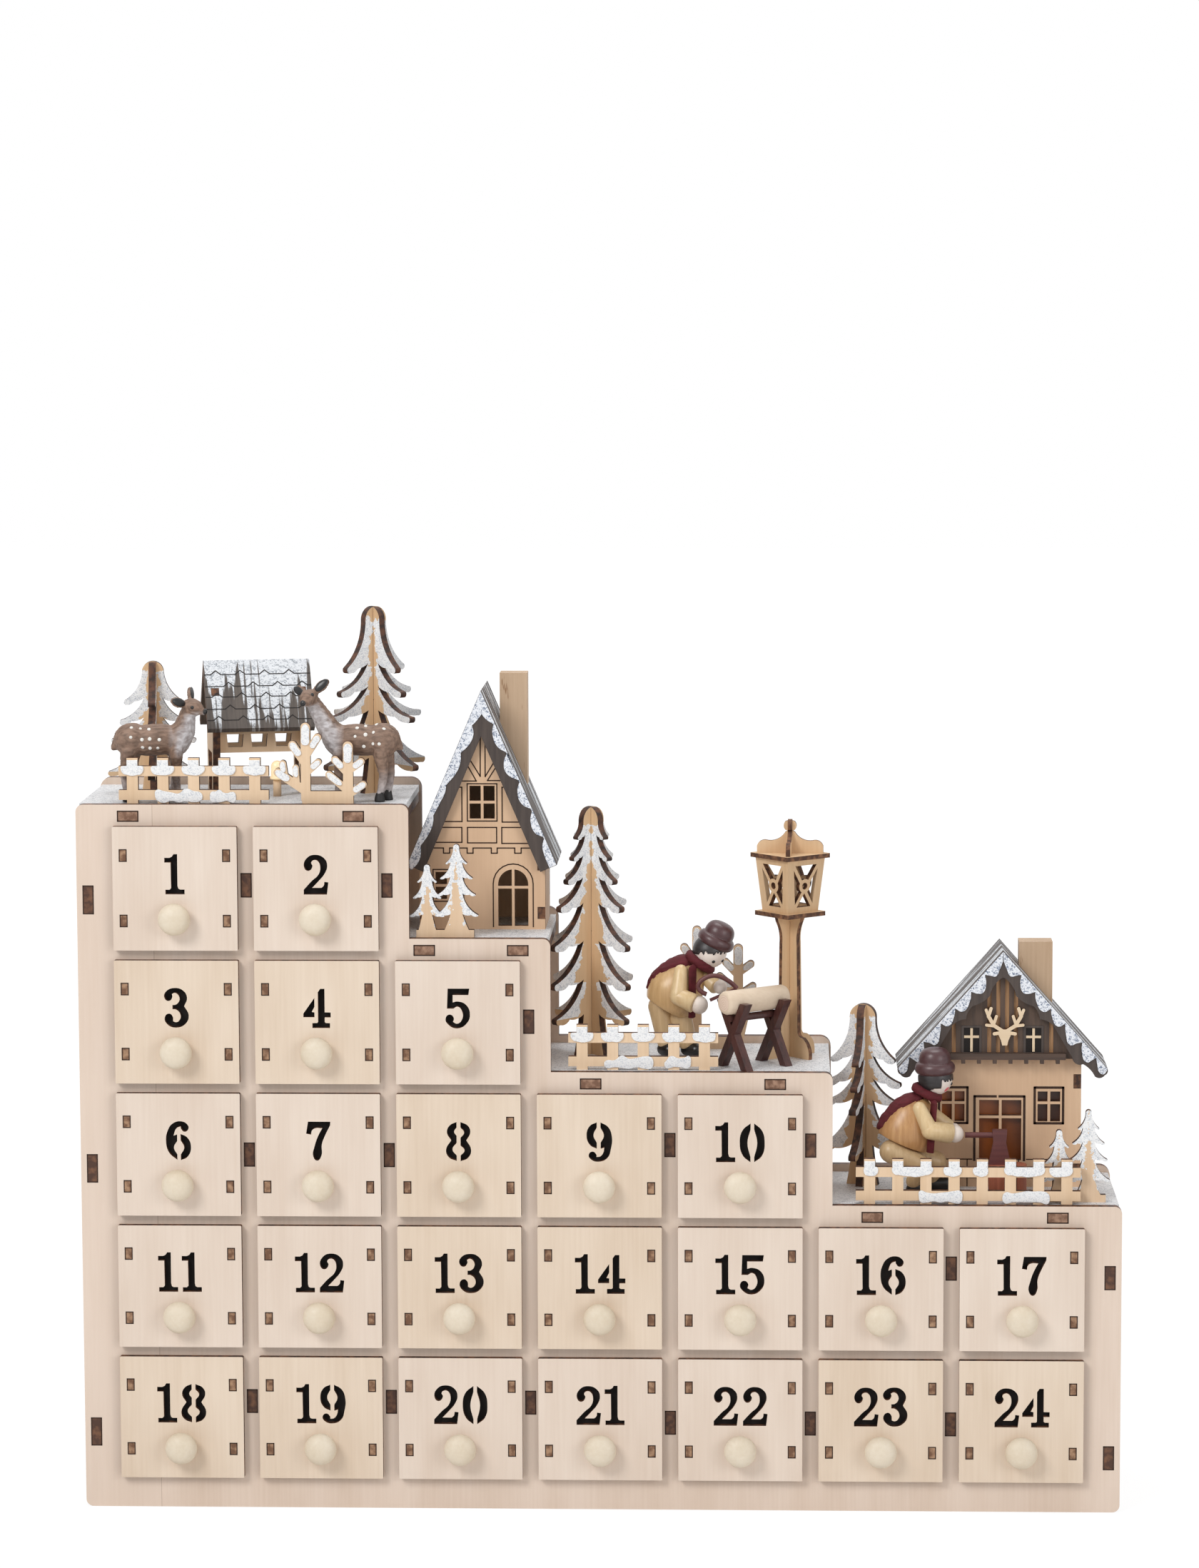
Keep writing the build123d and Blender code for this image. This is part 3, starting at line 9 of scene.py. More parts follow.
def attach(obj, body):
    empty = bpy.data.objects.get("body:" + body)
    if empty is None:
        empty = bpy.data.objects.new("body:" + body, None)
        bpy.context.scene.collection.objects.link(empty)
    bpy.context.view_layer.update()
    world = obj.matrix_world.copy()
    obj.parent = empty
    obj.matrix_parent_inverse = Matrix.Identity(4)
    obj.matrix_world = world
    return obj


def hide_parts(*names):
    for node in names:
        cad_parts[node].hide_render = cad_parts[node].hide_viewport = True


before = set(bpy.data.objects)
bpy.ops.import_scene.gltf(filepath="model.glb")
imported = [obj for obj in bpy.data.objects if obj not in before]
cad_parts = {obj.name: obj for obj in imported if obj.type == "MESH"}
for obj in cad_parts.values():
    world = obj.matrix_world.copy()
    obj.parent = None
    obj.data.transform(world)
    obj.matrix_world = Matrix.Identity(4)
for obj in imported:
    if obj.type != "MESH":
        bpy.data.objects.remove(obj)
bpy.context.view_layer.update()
scene = bpy.context.scene
mm = 0.001

# Cabinet boards: front, back, base, sides, dividers, shelves and decks. They are 4 mm birch plywood,
# cut by laser and glued tab in slot, so the pale veneer has a faint upright grain and each cut edge
# and tab end is burnt brown.


def colour(red, green, blue):
    """A colour as the eye reads it, 0 to 255, in the linear values of a shader."""
    values = [part / 255 for part in (red, green, blue)]
    return tuple(v / 12.92 if v <= 0.04045 else ((v + 0.055) / 1.055) ** 2.4 for v in values) + (1.0,)


def nodes_in(tree, shader):
    """A function that adds one node with its settings and feeds; "coat" is the tree's own shader."""
    coat = tree.nodes[shader]

    def node(kind, fed=None, **settings):
        made = coat if kind == "coat" else tree.nodes.new("ShaderNode" + kind)
        for key, value in settings.items():
            setattr(made, key, value)
        for key, value in (fed or {}).items():
            if isinstance(value, bpy.types.NodeSocket):
                tree.links.new(value, made.inputs[key])
            else:
                made.inputs[key].default_value = value
        return made

    return node


def new_finish(name, roughness):
    """A finish, the function that adds its nodes, and the place on the piece that its patterns follow."""
    finish = bpy.data.materials.new(name)
    finish.use_nodes = True
    node = nodes_in(finish.node_tree, "Principled BSDF")
    node("coat", {"Roughness": roughness})
    return finish, node, node("TexCoord").outputs["Object"]


def blend(node, share, *tones):
    """A mix of two tones, each an output of a node or a colour as the eye reads it."""
    first, second = [colour(*tone) if isinstance(tone, tuple) else tone for tone in tones]
    return node("Mix", {0: share, 6: first, 7: second}, data_type="RGBA").outputs[2]


def calc(node, operation, first, second=0.0):
    return node("Math", {0: first, 1: second}, operation=operation).outputs[0]


def spread(node, value, low, high, to_low=0.0, to_high=1.0):
    fed = {"Value": value, "From Min": low, "From Max": high, "To Min": to_low, "To Max": to_high}
    return node("MapRange", fed).outputs[0]


def mottle(node, place, scale, detail=3.0):
    """Cloudy noise, by one scale or by one for each direction, in waves to the metre."""
    if not isinstance(scale, (int, float)):
        place, scale = node("Mapping", {"Vector": place, "Scale": scale}).outputs[0], 1.0
    return node("TexNoise", {"Vector": place, "Scale": scale, "Detail": detail}).outputs[0]


def xyz(node, place):
    return node("SeparateXYZ", {0: place}).outputs


def lay(node, tone, relief=None, strength=0.12, depth=0.2):
    """Gives the coat its colour, and a relief with its depth in millimetres."""
    fed = {"Base Color": tone}
    if relief is not None:
        bump = node("Bump", {"Height": relief, "Strength": strength, "Distance": depth * mm})
        fed["Normal"] = bump.outputs[0]
    node("coat", fed)


def veneer(node, place, pale, deep, grain):
    """Birch veneer: fine streaks along the grain over a broad soft shade. Gives colour and relief."""
    streak = mottle(node, place, [28.0 if axis == grain else 850.0 for axis in "xyz"], 5.0)
    broad = mottle(node, place, [16.0 if axis == grain else 60.0 for axis in "xyz"], 2.0)
    shade = spread(node, calc(node, "ADD", calc(node, "MULTIPLY", streak, 0.5), broad), 0.5, 1.02)
    return blend(node, shade, pale, deep), streak


def scorch(node, place, deep=(54, 31, 20), pale=(120, 78, 50)):
    """A laser-burnt edge: dark brown, streaked with the lighter inner plies."""
    ply = mottle(node, place, 420.0, 4.0)
    return blend(node, spread(node, ply, 0.42, 0.66), deep, pale)


def birch_board(name, plate, grain, seam=None, tab=((98, 60, 42), (142, 98, 70))):
    """Plywood in one lie: faces square to plate show veneer, the rest are cut edges, tab ends less burnt.

    seam is the x of a joint between two sheets of the veneer, and tab the tones of the tab ends."""
    pale, deep, line = (231, 212, 196), (218, 196, 177), (150, 118, 92)
    finish, node, place = new_finish(name, 0.58)
    normal = node("TexCoord").outputs["Normal"]
    face, relief = veneer(node, place, pale, deep, grain)
    if seam is not None:
        past = calc(node, "SUBTRACT", xyz(node, place)[0], seam * mm)
        paler = calc(node, "MULTIPLY", calc(node, "LESS_THAN", past, 0.0), 0.4)
        face = blend(node, paler, face, pale)
        joint = calc(node, "LESS_THAN", calc(node, "ABSOLUTE", past), 0.13 * mm)
        face = blend(node, calc(node, "MULTIPLY", joint, 0.45), face, line)
    along = node("VectorMath", {0: normal, 1: plate}, operation="DOT_PRODUCT").outputs["Value"]
    edge = calc(node, "LESS_THAN", calc(node, "ABSOLUTE", along), 0.6)
    depth = calc(node, "ABSOLUTE", xyz(node, normal)[1])
    tab_end = calc(node, "GREATER_THAN", depth, 0.6)
    burnt = blend(node, tab_end, scorch(node, place), scorch(node, place, *tab))
    lay(node, blend(node, edge, face, burnt), relief)
    return finish


def dress(finish, *nodes):
    """Gives CAD nodes a finish on their own material slots."""
    for name in nodes:
        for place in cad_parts[name].material_slots:
            place.material = finish


dress(birch_board("front_birch", (0, 1, 0), "z", -178.7), "front_panel")
dress(birch_board("back_birch", (0, 1, 0), "z"), "back_panel")
upright_birch = birch_board("upright_birch", (1, 0, 0), "z", tab=((70, 42, 28), (116, 78, 54)))
dress(upright_birch, "side_panels", "column_dividers")
level_birch = birch_board("level_birch", (0, 0, 1), "x", tab=((118, 84, 64), (170, 134, 110)))
dress(level_birch, "base_panel", "row_shelves", "deck_boards")

# Snow boards: thin boards laid on the decks between the front and the back panel, and coated with white
# paste full of glitter flakes.


def snow_coat(node, place, dark=(200, 204, 211), white=(244, 244, 244), flakes=2600.0):
    """White paste with glitter flakes; the grey ones are painted shade, flakes mirroring the dark. Gives
    colour and relief.
    """
    flake = node("TexVoronoi", {"Vector": place, "Scale": flakes})
    chance = node("SeparateColor", {0: flake.outputs["Color"]}).outputs[0]
    cloud = mottle(node, place, 500.0)
    # dark is the painted shade of glitter flakes, spread over the paste with a cloudy mottle.
    flake_shading = calc(node, "ADD", chance, calc(node, "MULTIPLY", calc(node, "SUBTRACT", cloud, 0.5), 1.2))
    tone = blend(node, spread(node, flake_shading, 0.0, 0.5), dark, white)
    return tone, calc(node, "ADD", flake.outputs["Distance"], cloud)


def snow_finish(name, *grain):
    finish, node, place = new_finish(name, 0.5)
    lay(node, *snow_coat(node, place, *grain), 0.35, 0.3)
    return finish


# The first tone is the painted shade of the glitter flakes.
dress(snow_finish("deck_snow", (176, 178, 182), (236, 236, 237)), "snow_boards")

# Drawers: each has a 3 mm birch face with its day cut right through it, a box of 2.5 mm plywood whose
# tabs show in four slots, and a turned birch knob. A black card behind the numeral is painted shade: it
# stands for the dark inside of the cabinet, seen through the cut.


def set_piece(name, form, finishes, body="cabinet", stands_for=(), smooth=False):
    """Makes a piece of a finished form and rides it on its body."""
    mesh = bpy.data.meshes.new(name)
    form.to_mesh(mesh)
    form.free()
    for finish in finishes:
        mesh.materials.append(finish)
    mesh.polygons.foreach_set("use_smooth", [smooth] * len(mesh.polygons))
    piece = bpy.data.objects.new(name, mesh)
    scene.collection.objects.link(piece)
    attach(piece, body)
    if stands_for:
        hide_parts(*stands_for)
    return piece


def cut_sheet(outlines, back, thickness, rounding=0.0):
    """A sheet cut along closed lines in X and Z, its back at y = back; a third value rounds a point."""
    line = bpy.data.curves.new("cut_line", "CURVE")
    line.dimensions, line.fill_mode = "2D", "BOTH"
    line.resolution_u = 5
    line.extrude = thickness / 2 - rounding
    line.bevel_depth, line.bevel_resolution, line.offset = rounding, 1, -rounding
    for outline in outlines:
        run = line.splines.new("BEZIER")
        run.use_cyclic_u = True
        run.bezier_points.add(len(outline) - 1)
        for knot, point in zip(run.bezier_points, outline):
            knot.co = (point[0], point[1], 0)
            knot.handle_left_type = knot.handle_right_type = "AUTO" if len(point) > 2 else "VECTOR"
    holder = bpy.data.objects.new("cut_line", line)
    flat = bpy.data.meshes.new_from_object(holder)
    form = bmesh.new()
    form.from_mesh(flat)
    bpy.data.objects.remove(holder)
    bpy.data.curves.remove(line)
    bpy.data.meshes.remove(flat)
    bmesh.ops.remove_doubles(form, verts=form.verts, dist=0.001)
    stand = Matrix.Translation((0, back - thickness / 2, 0)) @ Matrix.Rotation(pi / 2, 4, "X")
    bmesh.ops.transform(form, matrix=stand, verts=form.verts)
    bmesh.ops.recalc_face_normals(form, faces=form.faces)
    return form


def put(form, x=0.0, y=0.0, z=0.0, turn=0.0):
    """Brings a form made in millimetres to its place in metres."""
    place = Matrix.Scale(mm, 4) @ Matrix.Translation((x, y, z)) @ Matrix.Rotation(turn, 4, "Z")
    bmesh.ops.transform(form, matrix=place, verts=form.verts)
    return form


def square(left, low, right, high):
    return [(left, low), (right, low), (right, high), (left, high)]


def solids_in(form):
    """The separate solids of a form, each as a list of its faces."""
    seen, solids = set(), []
    for seed in form.faces:
        if seed in seen:
            continue
        seen.add(seed)
        solid, open_ends = [seed], [seed]
        while open_ends:
            for edge in open_ends.pop().edges:
                for face in edge.link_faces:
                    if face not in seen:
                        seen.add(face)
                        solid.append(face)
                        open_ends.append(face)
        solids.append(solid)
    return solids


def copy_of(node_name):
    form = bmesh.new()
    form.from_mesh(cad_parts[node_name].data)
    bmesh.ops.remove_doubles(form, verts=form.verts, dist=1e-6)
    return form


def extent(solid, axis):
    reach = [vert.co[axis] for face in solid for vert in face.verts]
    return min(reach), max(reach)


def scorch_edges(form):
    """Marks the cut edges in a form; the ways that most of a solid's area faces are its sheets' lies."""
    bare, burnt = 0, 1
    for solid in solids_in(form):
        facing = {}
        for face in solid:
            way = face.normal if tuple(face.normal) > (0, 0, 0) else -face.normal
            key = tuple(round(part, 1) for part in way)
            facing[key] = facing.get(key, 0.0) + face.calc_area()
        widest = max(facing.values())
        lies = [Vector(way).normalized() for way, area in facing.items() if area > 0.5 * widest]
        for face in solid:
            lying = any(abs(face.normal.dot(lie)) > 0.9 for lie in lies)
            face.material_index = bare if lying else burnt


s = "smooth"
NUMERALS = {
    "0": (
        [(-0.65, 15.8), (-0.65, 13.3), (-1.9, 7.85, s), (-0.7, 2.1), (-0.7, 0), (-3.7, 2.6, s),
         (-5.0, 7.85, s), (-3.9, 12.9, s)],
        [(0.8, 15.8), (3.9, 12.9, s), (5.0, 8.0, s), (3.9, 2.6, s), (0.8, 0), (0.8, 2.1), (2.0, 7.85, s),
         (0.8, 13.3)],
    ),
    "1": (
        [(-0.4, 16.2), (1.1, 16.2), (1.1, 3.5), (1.4, 2.3), (2.1, 1.93), (3.9, 1.93), (3.9, 0), (-3.8, 0),
         (-3.8, 1.85), (-2.1, 1.85), (-1.5, 2.5), (-1.6, 12.8), (-4.1, 12.8), (-4.1, 14.7), (-2.0, 14.7),
         (-1.0, 15.2)],
    ),
    "2": (
        [(-4.8, 0), (-4.8, 1.9), (-1.6, 5.4, s), (1.2, 8.1, s), (1.9, 11.1, s), (1.0, 13.4, s),
         (-0.4, 13.9, s), (-1.7, 12.9, s), (-1.2, 11.4, s), (-2.9, 9.5, s), (-4.6, 11.1, s),
         (-3.5, 14.6, s), (0, 16, s), (3.7, 14.4, s), (4.7, 11.6, s), (3.7, 8.5, s), (1.0, 5.2, s),
         (-1.4, 2.7), (2.3, 2.7), (3.2, 3.5, s), (3.5, 5.1), (5.1, 4.9), (4.5, 0)],
    ),
    "3": (
        [(-1.6, 9.2), (-1.6, 7.5), (-0.1, 7.3, s), (1.6, 5.2, s), (1.1, 3.0, s), (-0.3, 2.2, s),
         (-1.4, 2.6), (-1.7, 4.8, s), (-3.2, 5.7, s), (-4.8, 4.0, s), (-3.8, 1.4, s), (-0.3, 0, s),
         (3.6, 1.6, s), (4.9, 5.0, s), (3.1, 8.7), (4.3, 12.2, s), (2.7, 15.1, s), (-0.5, 16.1, s),
         (-4.0, 14.8, s), (-4.9, 12.4, s), (-3.2, 10.8, s), (-1.6, 12.4, s), (-1.8, 13.6),
         (-0.5, 14.1, s), (1.2, 12.4, s), (0.9, 10.4, s), (-0.3, 9.35, s)],
    ),
    "4": (
        [(0.4, 14.5), (1.4, 15.9), (3.1, 15.9), (3.1, 6.35), (5.5, 6.3), (5.5, 4.3), (3.1, 4.3),
         (3.1, 2.4), (3.6, 2.0), (5.2, 2.0), (5.2, 0), (-1.9, 0), (-1.9, 2.0), (0, 2.0), (0.4, 2.4)],
        [(-1.0, 12.2), (-1.0, 8.6), (-2.1, 6.5), (-1.0, 6.3), (-1.0, 4.35), (-5.5, 4.35), (-5.5, 5.8)],
    ),
    "5": (
        [(-4.0, 16.1), (4.7, 16.1), (4.3, 13.5), (-2.0, 13.5), (-2.0, 10.5), (0, 10.9, s), (3.4, 9.5, s),
         (4.9, 5.7, s), (3.6, 2.0, s), (-0.2, 0, s), (-3.9, 1.6, s), (-4.9, 4.0, s), (-3.3, 5.6, s),
         (-1.6, 4.25, s), (-1.9, 2.6), (-0.2, 1.9, s), (1.7, 3.6, s), (1.8, 6.75, s), (0, 8.8, s),
         (-1.7, 8.0), (-4.3, 8.0)],
    ),
    "6": (
        [(-0.45, 0.1), (-3.8, 3.1, s), (-5.0, 7.85, s), (-4.2, 12.2, s), (-2.4, 14.8, s), (0.9, 15.9, s),
         (3.6, 14.7, s), (4.2, 13.0, s), (2.7, 11.6, s), (1.2, 12.8, s), (1.0, 13.8), (-0.7, 13.0, s),
         (-1.9, 10.0), (-0.45, 10.5), (-0.45, 7.85), (-1.8, 5.2, s), (-0.45, 2.3)],
        [(0.9, 10.7), (3.6, 9.3, s), (5.1, 5.4, s), (3.6, 1.3, s), (0.95, 0), (0.95, 2.3), (2.35, 5.2, s),
         (0.95, 8.05)],
    ),
    "7": (
        [(-4.1, 15.9), (4.9, 15.9), (4.8, 14.4), (2.8, 10.4, s), (1.4, 6.6, s), (1.2, 2.1, s),
         (-0.5, 0, s), (-2.1, 1.7, s), (-1.5, 6.0, s), (0, 10.2, s), (1.6, 13.2), (-1.2, 13.2, s),
         (-2.5, 12.3, s), (-2.9, 10.6), (-4.9, 11.0)],
    ),
    "8": (
        [(-0.8, 15.95), (-0.8, 13.7), (-1.8, 12.0, s), (-0.8, 10.3), (-0.8, 7.45), (-2.5, 4.8, s),
         (-0.8, 2.3), (-0.8, 0.1), (-3.9, 1.5, s), (-5.1, 4.5, s), (-3.0, 8.5), (-4.7, 11.8, s),
         (-3.5, 14.6, s)],
        [(0.75, 15.95), (3.8, 14.4, s), (4.7, 11.7, s), (3.1, 8.5), (5.0, 4.6, s), (3.7, 1.3, s),
         (0.75, 0), (0.75, 2.3), (2.35, 4.4, s), (0.75, 6.4), (0.75, 9.5), (2.2, 11.7, s), (0.75, 13.7)],
    ),
    "9": (
        [(-1.0, 16.0), (-1.0, 13.85), (-2.3, 10.8, s), (-1.0, 7.7), (-1.0, 5.3), (-3.7, 6.75, s),
         (-5.1, 10.6, s), (-3.8, 14.5, s)],
        [(0.5, 16.0), (3.6, 14.1, s), (5.1, 10.0, s), (4.7, 5.4, s), (3.25, 1.5, s), (-0.25, 0, s),
         (-3.45, 1.0, s), (-4.25, 2.8, s), (-2.8, 4.1, s), (-1.2, 2.9, s), (-1.1, 1.9), (0.45, 2.2, s),
         (1.65, 3.8, s), (2.0, 5.75), (0.55, 5.3), (0.55, 7.7), (1.85, 10.6, s), (0.5, 13.85)],
    ),
}


def day_outlines(day):
    """The cut-outs of a day's numeral, middle at x = 0 and foot at z = 0."""
    wide = [8.0 if digit == "1" else 10.2 for digit in str(day)]
    at = -(sum(wide) + 1.6 * (len(wide) - 1)) / 2
    cuts = []
    for digit, width in zip(str(day), wide):
        for outline in NUMERALS[digit]:
            cuts.append([(point[0] + at + width / 2, *point[1:]) for point in outline])
        at += width + 1.6
    return cuts


def turned_knob():
    """Half the knob's section, turned on the lathe about Y."""
    section = [(0, 0), (4.2, 0), (4.2, -1.5), (4.6, -2.0), (6.0, -3.0), (6.5, -4.3), (6.2, -5.8),
               (5.2, -7.2), (3.7, -8.1), (1.9, -8.5), (0, -8.6)]
    form = bmesh.new()
    rim = [form.verts.new((radius, depth, 0)) for radius, depth in section]
    edges = [form.edges.new(pair) for pair in zip(rim, rim[1:])]
    bmesh.ops.spin(form, geom=rim + edges, cent=(0, 0, 0), axis=(0, 1, 0), angle=2 * pi, steps=40,
                   use_merge=True)
    bmesh.ops.remove_doubles(form, verts=form.verts, dist=0.001)
    bmesh.ops.recalc_face_normals(form, faces=form.faces)
    return form


def plain_birch(name, grain, pale, deep, roughness=0.58):
    finish, node, place = new_finish(name, roughness)
    lay(node, *veneer(node, place, pale, deep, grain))
    return finish


def burnt_edge(name, *tones):
    finish, node, place = new_finish(name, 0.7)
    lay(node, scorch(node, place, *tones), mottle(node, place, 900.0), 0.2)
    return finish


def speckled(name, roughness, grain, first, second):
    finish, node, place = new_finish(name, roughness)
    lay(node, blend(node, mottle(node, place, grain), first, second))
    return finish


def ring(*points):
    return list(points) + [points[0]]


def scored(paths, width, depth=0.12):
    """Laser-scored lines as thin burnt strips on the plane y = 0, along points in X and Z."""
    form = bmesh.new()
    for path in paths:
        for (x0, z0), (x1, z1) in zip(path, path[1:]):
            run = hypot(x1 - x0, z1 - z0) + width * 0.7
            strip = bmesh.ops.create_cube(form, size=1.0)["verts"]
            middle = Matrix.Translation(((x0 + x1) / 2, 0, (z0 + z1) / 2))
            turn = Matrix.Rotation(-atan2(z1 - z0, x1 - x0), 4, "Y")
            place = middle @ turn @ Matrix.Diagonal((run, depth, width, 1))
            bmesh.ops.transform(form, matrix=place, verts=strip)
    return form


face_birch = plain_birch("face_birch", "z", (233, 217, 202), (222, 203, 186))
warm_birch = plain_birch("warm_face_birch", "z", (232, 214, 194), (219, 198, 175))
box_birch = plain_birch("box_birch", "y", (222, 200, 170), (205, 178, 145))
knob_birch = plain_birch("knob_birch", "y", (233, 221, 201), (221, 205, 180), 0.5)
scorched = burnt_edge("scorched_edge")
tab_wood = burnt_edge("drawer_tab_end", (110, 76, 54), (172, 136, 106))
# Black card: painted shade, for the dark seen through the numerals and the gable's windows.
shade_card = speckled("black_card", 0.9, 1500.0, (12, 7, 5), (24, 15, 11))
burn = speckled("scored_line", 0.85, 1400.0, (38, 22, 15), (66, 42, 28))

side, half, ease = 50.0, 25.0, 0.3
flat = half - ease
rim = [(-flat, 0), (flat, 0), (half, ease), (half, side - ease), (flat, side), (-flat, side),
       (-half, side - ease), (-half, ease)]
tab_x, tab_z, tab_wide, tab_high = (-20.75, 20.75), (38.4, 12.0), 1.4, 2.35
tabs = [square(x - tab_wide, z - tab_high, x + tab_wide, z + tab_high) for x in tab_x for z in tab_z]
front, back, numeral_foot, knob_height = -41.0, -38.0, 22.8, 13.2
first_x, first_z, pitch_x, pitch_z = -169.5, 229.0, 56.5, 54.0
day = 0
for row, columns in enumerate((2, 3, 5, 7, 7)):
    for column in range(columns):
        day += 1
        name = f"drawer_{day:02d}"
        x, z = first_x + pitch_x * column, first_z - pitch_z * row
        cuts = [[(at, up + numeral_foot, *mark) for at, up, *mark in cut] for cut in day_outlines(day)]
        face = cut_sheet([rim] + cuts + tabs, back, back - front)
        scorch_edges(face)
        sheet = warm_birch if (day * 7) % 5 in (1, 3) else face_birch
        set_piece(name + "_face", put(face, x, 0, z), [sheet, scorched], name, [name])

        lines = scored([ring(*tab) for tab in tabs], 0.42)
        set_piece(name + "_tab_lines", put(lines, x, front, z), [burn], name)

        box = copy_of(name)
        loose = []
        for solid in solids_in(box):
            left, right = extent(solid, 0)
            if right - left > (side - 2) * mm or extent(solid, 1)[0] < (front - 0.5) * mm:
                loose += solid
        bmesh.ops.delete(box, geom=loose, context="FACES")
        scorch_edges(box)
        for end in box.faces:
            if end.normal.y < -0.9 and end.calc_center_median().y < (front + 1) * mm:
                end.material_index = 2
        set_piece(name + "_box", box, [box_birch, scorched, tab_wood], name)
        knob = put(turned_knob(), x, front, z + knob_height)
        set_piece(name + "_knob", knob, [knob_birch], name, smooth=True)
        # Black card behind the numeral: painted shade for the dark inside of the cabinet.
        shade_backing = cut_sheet([square(-18.5, 21.5, 18.5, 40.5)], back + 0.25, 0.25)
        set_piece(name + "_card", put(shade_backing, x, 0, z), [shade_card], name)

# Tabs of the uprights and decks: their ends lie in the slots of the front panel, and the laser has drawn a
# dark line round each.
panel_front = -37.5
ends = []
for name in ("side_panels", "column_dividers", "deck_boards"):
    form = copy_of(name)
    inner = [face for face in form.faces
             if face.normal.y > -0.9 or face.calc_center_median().y > (panel_front + 0.5) * mm]
    bmesh.ops.delete(form, geom=inner, context="FACES")
    for end in solids_in(form):
        (left, right), (low, high) = [[value / mm for value in extent(end, axis)] for axis in (0, 2)]
        ends.append(ring(*square(left, low, right, high)))
    form.free()
set_piece("front_tab_lines", put(scored(ends, 0.5), 0, panel_front, 0), [burn])

# Battery case: a black moulded tray let into an opening of the back panel, with its cover, which a screw
# holds, and its slide switch.
moulded, node, place = new_finish("moulded_black", 0.48)
grainy = mottle(node, place, 2600.0)
lay(node, blend(node, grainy, (30, 30, 31), (40, 40, 41)), grainy, 0.1, 0.1)
dress(moulded, "battery_case", "battery_cover", "switch_slider")

# Spruces: two 3 mm plates each, slotted into one another on the deck. White paste is brushed over
# the tips of their branches, and the burnt outline stays bare.


def stand_plates(node_name, piece, finishes):
    """Stands for a CAD node with a copy of its sheets, their cut edges in the second finish."""
    form = copy_of(node_name)
    scorch_edges(form)
    set_piece(piece, form, finishes, stands_for=[node_name])


def stops_along(node, share, stops):
    """A value along a share from 0 to 1, straight from stop to stop."""
    ramp = node("ValToRGB", {0: share})
    marks = ramp.color_ramp.elements
    marks.remove(marks[1])
    for number, (at, value) in enumerate(stops):
        mark = marks.new(at) if number else marks[0]
        mark.position, mark.color = at, (value, value, value, 1.0)
    return ramp.outputs[0]


def own_place(node, place, turn, home=(0, 0, 0)):
    """A place as a piece sees it from its home, in millimetres, before its turn about Z."""
    moved = node("Mapping", {"Vector": place, "Location": [-c * mm for c in home]}).outputs[0]
    return node("VectorRotate", {"Vector": moved, "Angle": -turn}, rotation_type="Z_AXIS").outputs[0]


def ragged(node, place, scale, size):
    """How far a brushed edge wanders to either side, in metres for a size in millimetres."""
    return calc(node, "MULTIPLY", calc(node, "SUBTRACT", mottle(node, place, scale, 4.0), 0.5), size * mm)


def snowy_spruce(name, centre, turn, foot, height, tips, cover):
    """Veneer with snow from the tips of each tier inwards, in the tree's own turn.

    tips gives each tier's reach and its drop as a share of the height, as on the plate."""
    finish, node, place = new_finish(name, 0.55)
    face, relief = veneer(node, place, (222, 190, 152), (203, 167, 127), "z")
    x, y, z = xyz(node, own_place(node, place, turn, (*centre, foot)))
    out = calc(node, "MAXIMUM", calc(node, "ABSOLUTE", x), calc(node, "ABSOLUTE", y))
    widest, top, gap = 30.0, 0.0, 0.004
    stops = []
    for reach, drop in tips:
        wood = cover * reach ** 2 / widest
        stops += [(1.0 - top - gap, 0.45 * wood), (1.0 - drop, wood)]
        top = drop
    stops = [(0.0, 1.0), (1.0 - top - gap, 1.0), *reversed(stops)]
    share = calc(node, "DIVIDE", z, height * mm)
    bare = calc(node, "MULTIPLY", stops_along(node, share, stops), widest * mm)
    wander = ragged(node, place, 260.0, 9)
    deep = calc(node, "SUBTRACT", calc(node, "ADD", out, wander), bare)
    below = calc(node, "LESS_THAN", calc(node, "ADD", z, wander), height * 0.93 * mm)
    white = calc(node, "MULTIPLY", calc(node, "GREATER_THAN", deep, 0.0), below)
    paint, lump = snow_coat(node, place)
    relief = calc(node, "ADD", calc(node, "MULTIPLY", relief, 0.2), calc(node, "MULTIPLY", white, lump))
    lay(node, blend(node, white, face, paint), relief, 0.4, 0.5)
    return finish


spruce_edge = burnt_edge("spruce_edge", (44, 26, 19), (96, 60, 42))
for name, centre, turn, foot, height, cover, tips in (
    ("small_spruce", (-183.5, 7.5), 4.0, 287.5, 53.7, 0.024,
     ((11.7, 0.30), (13.5, 0.45), (17.0, 0.59), (18.5, 0.84))),
    ("tall_spruce", (-93.0, 6.5), 45.0, 287.5, 76.2, 0.016,
     ((14.9, 0.32), (18.2, 0.445), (23.6, 0.575), (25.5, 0.83))),
    ("middle_spruce", (-4.7, 7.5), 45.0, 179.5, 102.2, 0.024,
     ((8.5, 0.116), (10.7, 0.197), (13.9, 0.285), (17.9, 0.39), (21.3, 0.544), (21.5, 0.70), (20.6, 0.84))),
    ("low_spruce", (106.5, 7.5), -15.0, 125.5, 75.0, 0.024,
     ((13.2, 0.30), (15.6, 0.43), (18.0, 0.55), (18.5, 0.80))),
):
    brushed = snowy_spruce(name + "_veneer", centre, radians(turn), foot, height, tips, cover)
    stand_plates(name, name + "_plates", [brushed, spruce_edge])

# Picket fences, bare shrubs and twin spruces: flat 3 mm cut-outs glued on edge to the decks. Their snow is
# dabbed on by hand, thick on the pickets' tops and twig ends, and has finer flakes.
# The first tone is the painted shade of the glitter flakes.
snow = snow_finish("dabbed_snow", (212, 215, 220))
cutout_birch = plain_birch("cutout_birch", "z", (236, 208, 176), (220, 188, 152))
stand_plates("picket_fences", "picket_fences_plates", [cutout_birch, scorched])

